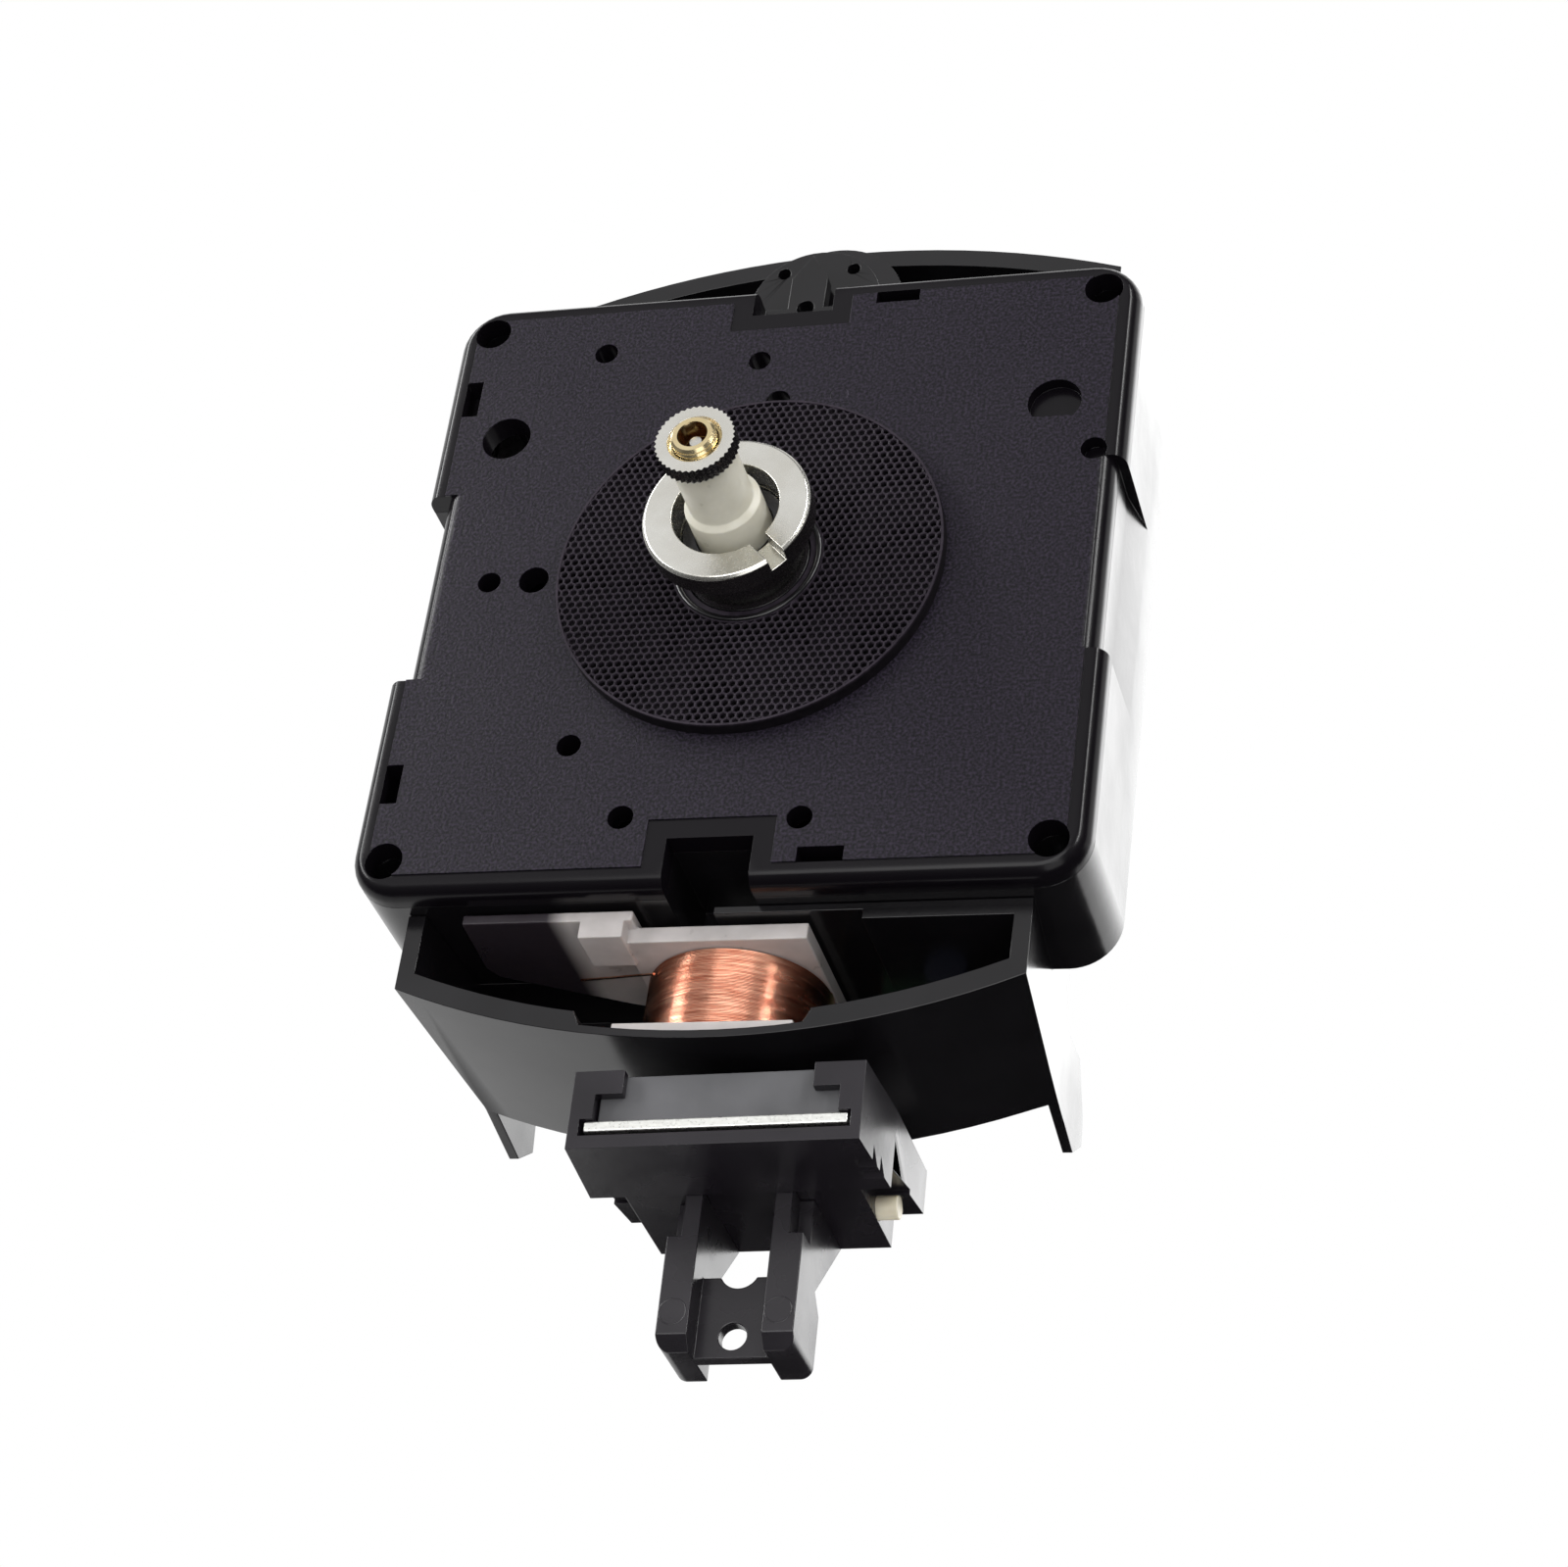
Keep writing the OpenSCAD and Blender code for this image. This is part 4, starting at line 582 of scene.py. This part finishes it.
def cellTree():
    # cells with a narrow wall, laid over a flat ring and cut off at its edges
    shape = {"rounding": 0.2, "draft": 0.6, "overlap": 0.42, "spare": 3, "weldGap": 0.003}
    tree, value, end = newTree("washerCells", washerCells)
    reach = sums(tree, "DIVIDE", value["Pitch"], math.sqrt(3))
    lip = sums(tree, "SUBTRACT", reach, value["Wall"])
    foot = sums(tree, "SUBTRACT", lip, sums(tree, "MULTIPLY", value["Wall"], shape["draft"]))
    crown = sums(tree, "MULTIPLY", value["Depth"], shape["rounding"])
    flank = sums(tree, "SUBTRACT", value["Depth"], crown)
    top = placed(tree, cellWall(tree, reach, lip, crown), Translation=upwards(tree, flank))
    bands = joined(tree, [top, cellWall(tree, lip, foot, flank)])
    walls = put(tree, "GeometryNodeFlipFaces", {"Mesh": bands}).outputs[0]
    bottom = put(tree, "GeometryNodeMeshCircle", {"Vertices": 6, "Radius": foot}, fill_type="NGON").outputs[0]
    cell = placed(tree, joined(tree, [walls, bottom]), Rotation=(0, 0, math.pi / 6))

    # two grids of centres, half a step apart, that cover the whole washer
    width = sums(tree, "MULTIPLY", value["Outer"], 2)
    steps = (value["Pitch"], sums(tree, "MULTIPLY", value["Pitch"], math.sqrt(3)))
    feeds = {}
    for axis, step in zip("XY", steps):
        exact = sums(tree, "DIVIDE", width, step)
        whole = put(tree, "FunctionNodeFloatToInt", {0: exact}, rounding_mode="CEILING").outputs[0]
        count = sums(tree, "ADD", whole, shape["spare"])
        feeds["Vertices " + axis] = count
        feeds["Size " + axis] = sums(tree, "MULTIPLY", sums(tree, "SUBTRACT", count, 1), step)
    grid = put(tree, "GeometryNodeMeshGrid", feeds).outputs["Mesh"]
    halfSteps = {axis: sums(tree, "MULTIPLY", step, 0.5) for axis, step in zip("XY", steps)}
    shifted = placed(tree, grid, Translation=put(tree, "ShaderNodeCombineXYZ", halfSteps).outputs[0])
    centres = put(tree, "GeometryNodeMeshToPoints", {"Mesh": joined(tree, [grid, shifted])})
    place = put(tree, "GeometryNodeInputPosition").outputs[0]
    far = vectors(tree, "LENGTH", place)
    overlap = sums(tree, "MULTIPLY", value["Pitch"], shape["overlap"])
    beyond = sums(tree, "GREATER_THAN", far, sums(tree, "ADD", value["Outer"], overlap))
    within = sums(tree, "LESS_THAN", far, sums(tree, "SUBTRACT", value["Inner"], overlap))
    kept = put(tree, "GeometryNodeDeleteGeometry", {
        "Geometry": centres.outputs[0], "Selection": sums(tree, "MAXIMUM", beyond, within),
    })
    cells = put(tree, "GeometryNodeInstanceOnPoints", {"Points": kept.outputs[0], "Instance": cell})
    real = put(tree, "GeometryNodeRealizeInstances", {"Geometry": cells.outputs[0]})
    merged = put(tree, "GeometryNodeMergeByDistance", {
        "Geometry": real.outputs[0], "Distance": shape["weldGap"] * mm,
    })

    # points past the edges are drawn back to them, and the whole is raised to the face
    flat = sideways(tree, place)
    radius = vectors(tree, "LENGTH", flat)
    held = sums(tree, "MAXIMUM", sums(tree, "MINIMUM", radius, value["Outer"]), value["Inner"])
    drawn = scaled(tree, flat, sums(tree, "DIVIDE", held, radius))
    pit = sums(tree, "SUBTRACT", value["Top"], value["Depth"])
    level = upwards(tree, sums(tree, "ADD", axes(tree, place)["Z"], pit))
    laid = put(tree, "GeometryNodeSetPosition", {
        "Geometry": merged.outputs[0], "Position": vectors(tree, "ADD", drawn, level),
    })
    ended(tree, value, end, laid.outputs[0])
    return tree


# the washer's ring, sunk to the bottom of the cells between two narrow rims
washerRadii = [vertex.co.xy.length for vertex in frame["nodes"]["rubber_washer"].data.vertices]
pit = washerCells["Top"] - washerCells["Depth"]
rim = 0.03 * mm
washerBase = lathed("washerBase", [
    (min(washerRadii), 0), (max(washerRadii), 0), (max(washerRadii), washerCells["Top"]),
    (washerCells["Outer"] - rim, washerCells["Top"]), (washerCells["Outer"] - rim, pit),
    (washerCells["Inner"] + rim, pit), (washerCells["Inner"] + rim, washerCells["Top"]),
    (min(washerRadii), washerCells["Top"]),
])
washerBase.data.materials.append(finishes["rubber"])
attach(washerBase, "movement")
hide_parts("rubber_washer")
cells = grown("washerCells", cellTree(), {**washerCells, "Finish": finishes["rubber"]})
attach(cells, "movement")
print("washer cells:", len(cells.data.polygons), "faces")

# the pendulum coil's winding, along Y
windingTurns = {
    "Radius": 6.865 * mm, "Liner": 6.84 * mm, "Length": 6.6 * mm, "Turns": 58.0,
    "Wire": 0.058 * mm, "Wander": 0.07 * mm, "Place": (0, -30.35 * mm, -12 * mm),
}


def windingTree():
    # a fine spiral of wire with uneven turns over a plain liner
    shape = {"turnPoints": 56, "wirePoints": 6, "linerPoints": 96, "unevenness": (140, 140, 9000)}
    tree, value, end = newTree("windingTurns", windingTurns)
    spiral = put(tree, "GeometryNodeCurveSpiral", {
        "Resolution": shape["turnPoints"], "Rotations": value["Turns"], "Start Radius": value["Radius"],
        "End Radius": value["Radius"], "Height": value["Length"],
    })
    place = put(tree, "GeometryNodeInputPosition").outputs[0]
    bend = vectors(tree, "MULTIPLY", place, shape["unevenness"])
    noise = put(tree, "ShaderNodeTexNoise", {"Vector": bend, "Scale": 1.0, "Detail": 1.0})
    centred = vectors(tree, "SUBTRACT", noise.outputs["Color"], (0.5, 0.5, 0.5))
    alongAxis = vectors(tree, "MULTIPLY", centred, (0.25, 0.25, 1))
    drift = scaled(tree, alongAxis, value["Wander"])
    uneven = put(tree, "GeometryNodeSetPosition", {"Geometry": spiral.outputs[0], "Offset": drift})
    section = put(tree, "GeometryNodeCurvePrimitiveCircle", {
        "Resolution": shape["wirePoints"], "Radius": value["Wire"],
    })
    wires = put(tree, "GeometryNodeCurveToMesh", {
        "Curve": uneven.outputs[0], "Profile Curve": section.outputs[0], "Fill Caps": True,
    })
    liner = put(tree, "GeometryNodeMeshCylinder", {
        "Vertices": shape["linerPoints"], "Radius": value["Liner"], "Depth": value["Length"],
    }, fill_type="NONE")
    halfway = upwards(tree, sums(tree, "MULTIPLY", value["Length"], 0.5))
    raised = placed(tree, liner.outputs["Mesh"], Translation=halfway)
    both = joined(tree, [wires.outputs[0], raised])
    ended(tree, value, end, placed(tree, both, Rotation=(math.pi / 2, 0, 0), Translation=value["Place"]))
    return tree


turns = grown("windingTurns", windingTree(), {**windingTurns, "Finish": finishes["copper"]})
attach(turns, bodyOf["coil_wire"])
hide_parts("coil_wire")
print("winding turns:", len(turns.data.polygons), "faces")

# round mould marks and the lip round the bush: node, middle, radius, half width, half height in millimetres
lowRings = {
    "coverMarkLow": ("front_cover", (-7.6, -15.5, 0), 0.7, 0.05, 0.012),
    "coverMarkHigh": ("front_cover", (5.0, 16.25, 0), 0.7, 0.05, 0.012),
    "bushLip": ("centre_bush", (0, 0, 1.2), 5.6, 0.28, 0.16),
    "clipMarkLeft": ("rod_clip", (-1.61, -56.14, -11.7), 1.0, 0.06, 0.02),
    "clipMarkRight": ("rod_clip", (6.14, -55.98, -11.7), 1.0, 0.06, 0.02),
}


def ringPiece(name, nodeName, middle, radius, width, height):
    # a low ring lying across Z with sloping sides
    crest = 0.6 * width
    outline = [(-width, -height), (-crest, height), (crest, height), (width, -height)]
    profile = [((radius + across) * mm, up * mm) for across, up in outline]
    piece = lathed(name, profile, Vector(middle) * mm, steps=48, crease=180)
    piece.data.materials.append(finishOf(nodeName))
    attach(piece, bodyOf[nodeName])


for name, ring in lowRings.items():
    ringPiece(name, *ring)
print("mould marks laid")

# floor, room and lights, in metres and watts
studio = {
    "floorDrop": 0.17, "floorSize": 3.0, "roomLight": {"Color": (1.0, 0.99, 1.0, 1), "Strength": 0.4},
    # axis, start, end, level before the start, level past the end
    "floorFades": [("X", -0.066, -0.072, 0, 0.9), ("Y", -0.03, 0.05, 0.02, 1.0)],
    "roomFades": [("Z", 0.2, 0.7, 0.16, 0.95), ("Y", -0.6, -0.1, 0.15, 1.0), ("X", 0.1, 0.36, 1.0, 0.4)],
    "lamps": [
        # name, place, aim, long side, size across, size along, watts
        ("overheadBox", (0.05, -0.16, 0.58), (0, 0, 0), (0, 1, 0), 0.5, 0.42, 1.85),
        ("frontBox", (0.25, -0.45, 0.35), (0, -0.02, 0), (0, 0, 1), 0.35, 0.35, 0.55),
        ("lowRightBox", (0.075, 0.055, -0.13), (0.04, 0.0, -0.01), (0, 1, 0), 0.11, 0.28, 0.19),
        ("leftStrip", (-0.46, 0.24, 0.22), (0, -0.034, -0.012), (0, 0.93, -0.36), 0.14, 0.6, 2.8),
        ("rightStrip", (0.361, 0.257, 0.283), (0, -0.034, -0.012), (-0.406, 0.848, -0.341), 0.06, 0.5, 1.6),
    ],
}
white = (1, 1, 1, 1)
plainGrey = (0.8, 0.8, 0.8, 1)


def byRay(tree, falling, mirrored, seen):
    # one shader for the light that falls, one for reflections and one for the camera
    path = put(tree, "ShaderNodeLightPath").outputs
    mixed = falling.outputs[0]
    for ray, other in (("Is Glossy Ray", mirrored), ("Is Camera Ray", seen)):
        mixed = put(tree, "ShaderNodeMixShader", {0: path[ray], 1: mixed, 2: other.outputs[0]}).outputs[0]
    return mixed


def faded(tree, place, fades):
    split = axes(tree, place)
    return [ranged(tree, split[axis], low, high, start, end) for axis, start, end, low, high in fades]


def floorMaterial():
    # white to the camera; in reflections dark in front and bright behind and at the left
    material = bpy.data.materials.new("paleFloor")
    material.use_nodes = True
    tree = material.node_tree
    tree.nodes.clear()
    place = put(tree, "ShaderNodeTexCoord").outputs["Object"]
    brightest = sums(tree, "MAXIMUM", *faded(tree, place, studio["floorFades"]))
    falling = put(tree, "ShaderNodeBsdfDiffuse", {"Color": plainGrey})
    mirrored = put(tree, "ShaderNodeEmission", {"Color": white, "Strength": brightest})
    seen = put(tree, "ShaderNodeEmission", {"Color": white, "Strength": 1.0})
    put(tree, "ShaderNodeOutputMaterial", {"Surface": byRay(tree, falling, mirrored, seen)})
    return material


half = studio["floorSize"] / 2
corners = ((-half, -half), (half, -half), (half, half), (-half, half))
floorMesh = bpy.data.meshes.new("floor")
floorMesh.from_pydata([(*corner, -studio["floorDrop"]) for corner in corners], [], [(0, 1, 2, 3)])
floorMesh.materials.append(floorMaterial())
floor = linked("floor", floorMesh)

world = bpy.data.worlds.new("paleRoom")
stageScene.world = world
world.use_nodes = True
room = world.node_tree
room.nodes.clear()
# mirrors see a dark room in front and at the horizon, and a pale one above
mirrorLevel = 1.0
for fade in faded(room, put(room, "ShaderNodeTexCoord").outputs["Generated"], studio["roomFades"]):
    mirrorLevel = sums(room, "MULTIPLY", mirrorLevel, fade)
softRoom = put(room, "ShaderNodeBackground", studio["roomLight"])
mirrorRoom = put(room, "ShaderNodeBackground", {"Color": plainGrey, "Strength": mirrorLevel})
whiteRoom = put(room, "ShaderNodeBackground", {"Color": white, "Strength": 1.0})
put(room, "ShaderNodeOutputWorld", {"Surface": byRay(room, softRoom, mirrorRoom, whiteRoom)})

for name, place, aim, along, across, length, watts in studio["lamps"]:
    light = bpy.data.lights.new(name, "AREA")
    light.shape = "RECTANGLE"
    light.size = across
    light.size_y = length
    light.energy = watts
    lamp = linked(name, light)
    away = (Vector(place) - Vector(aim)).normalized()
    side = Vector(along).cross(away).normalized()
    lamp.matrix_world = turnedTo(place, side, away.cross(side), away)
    lamp.visible_camera = False
print("stage and lights set")
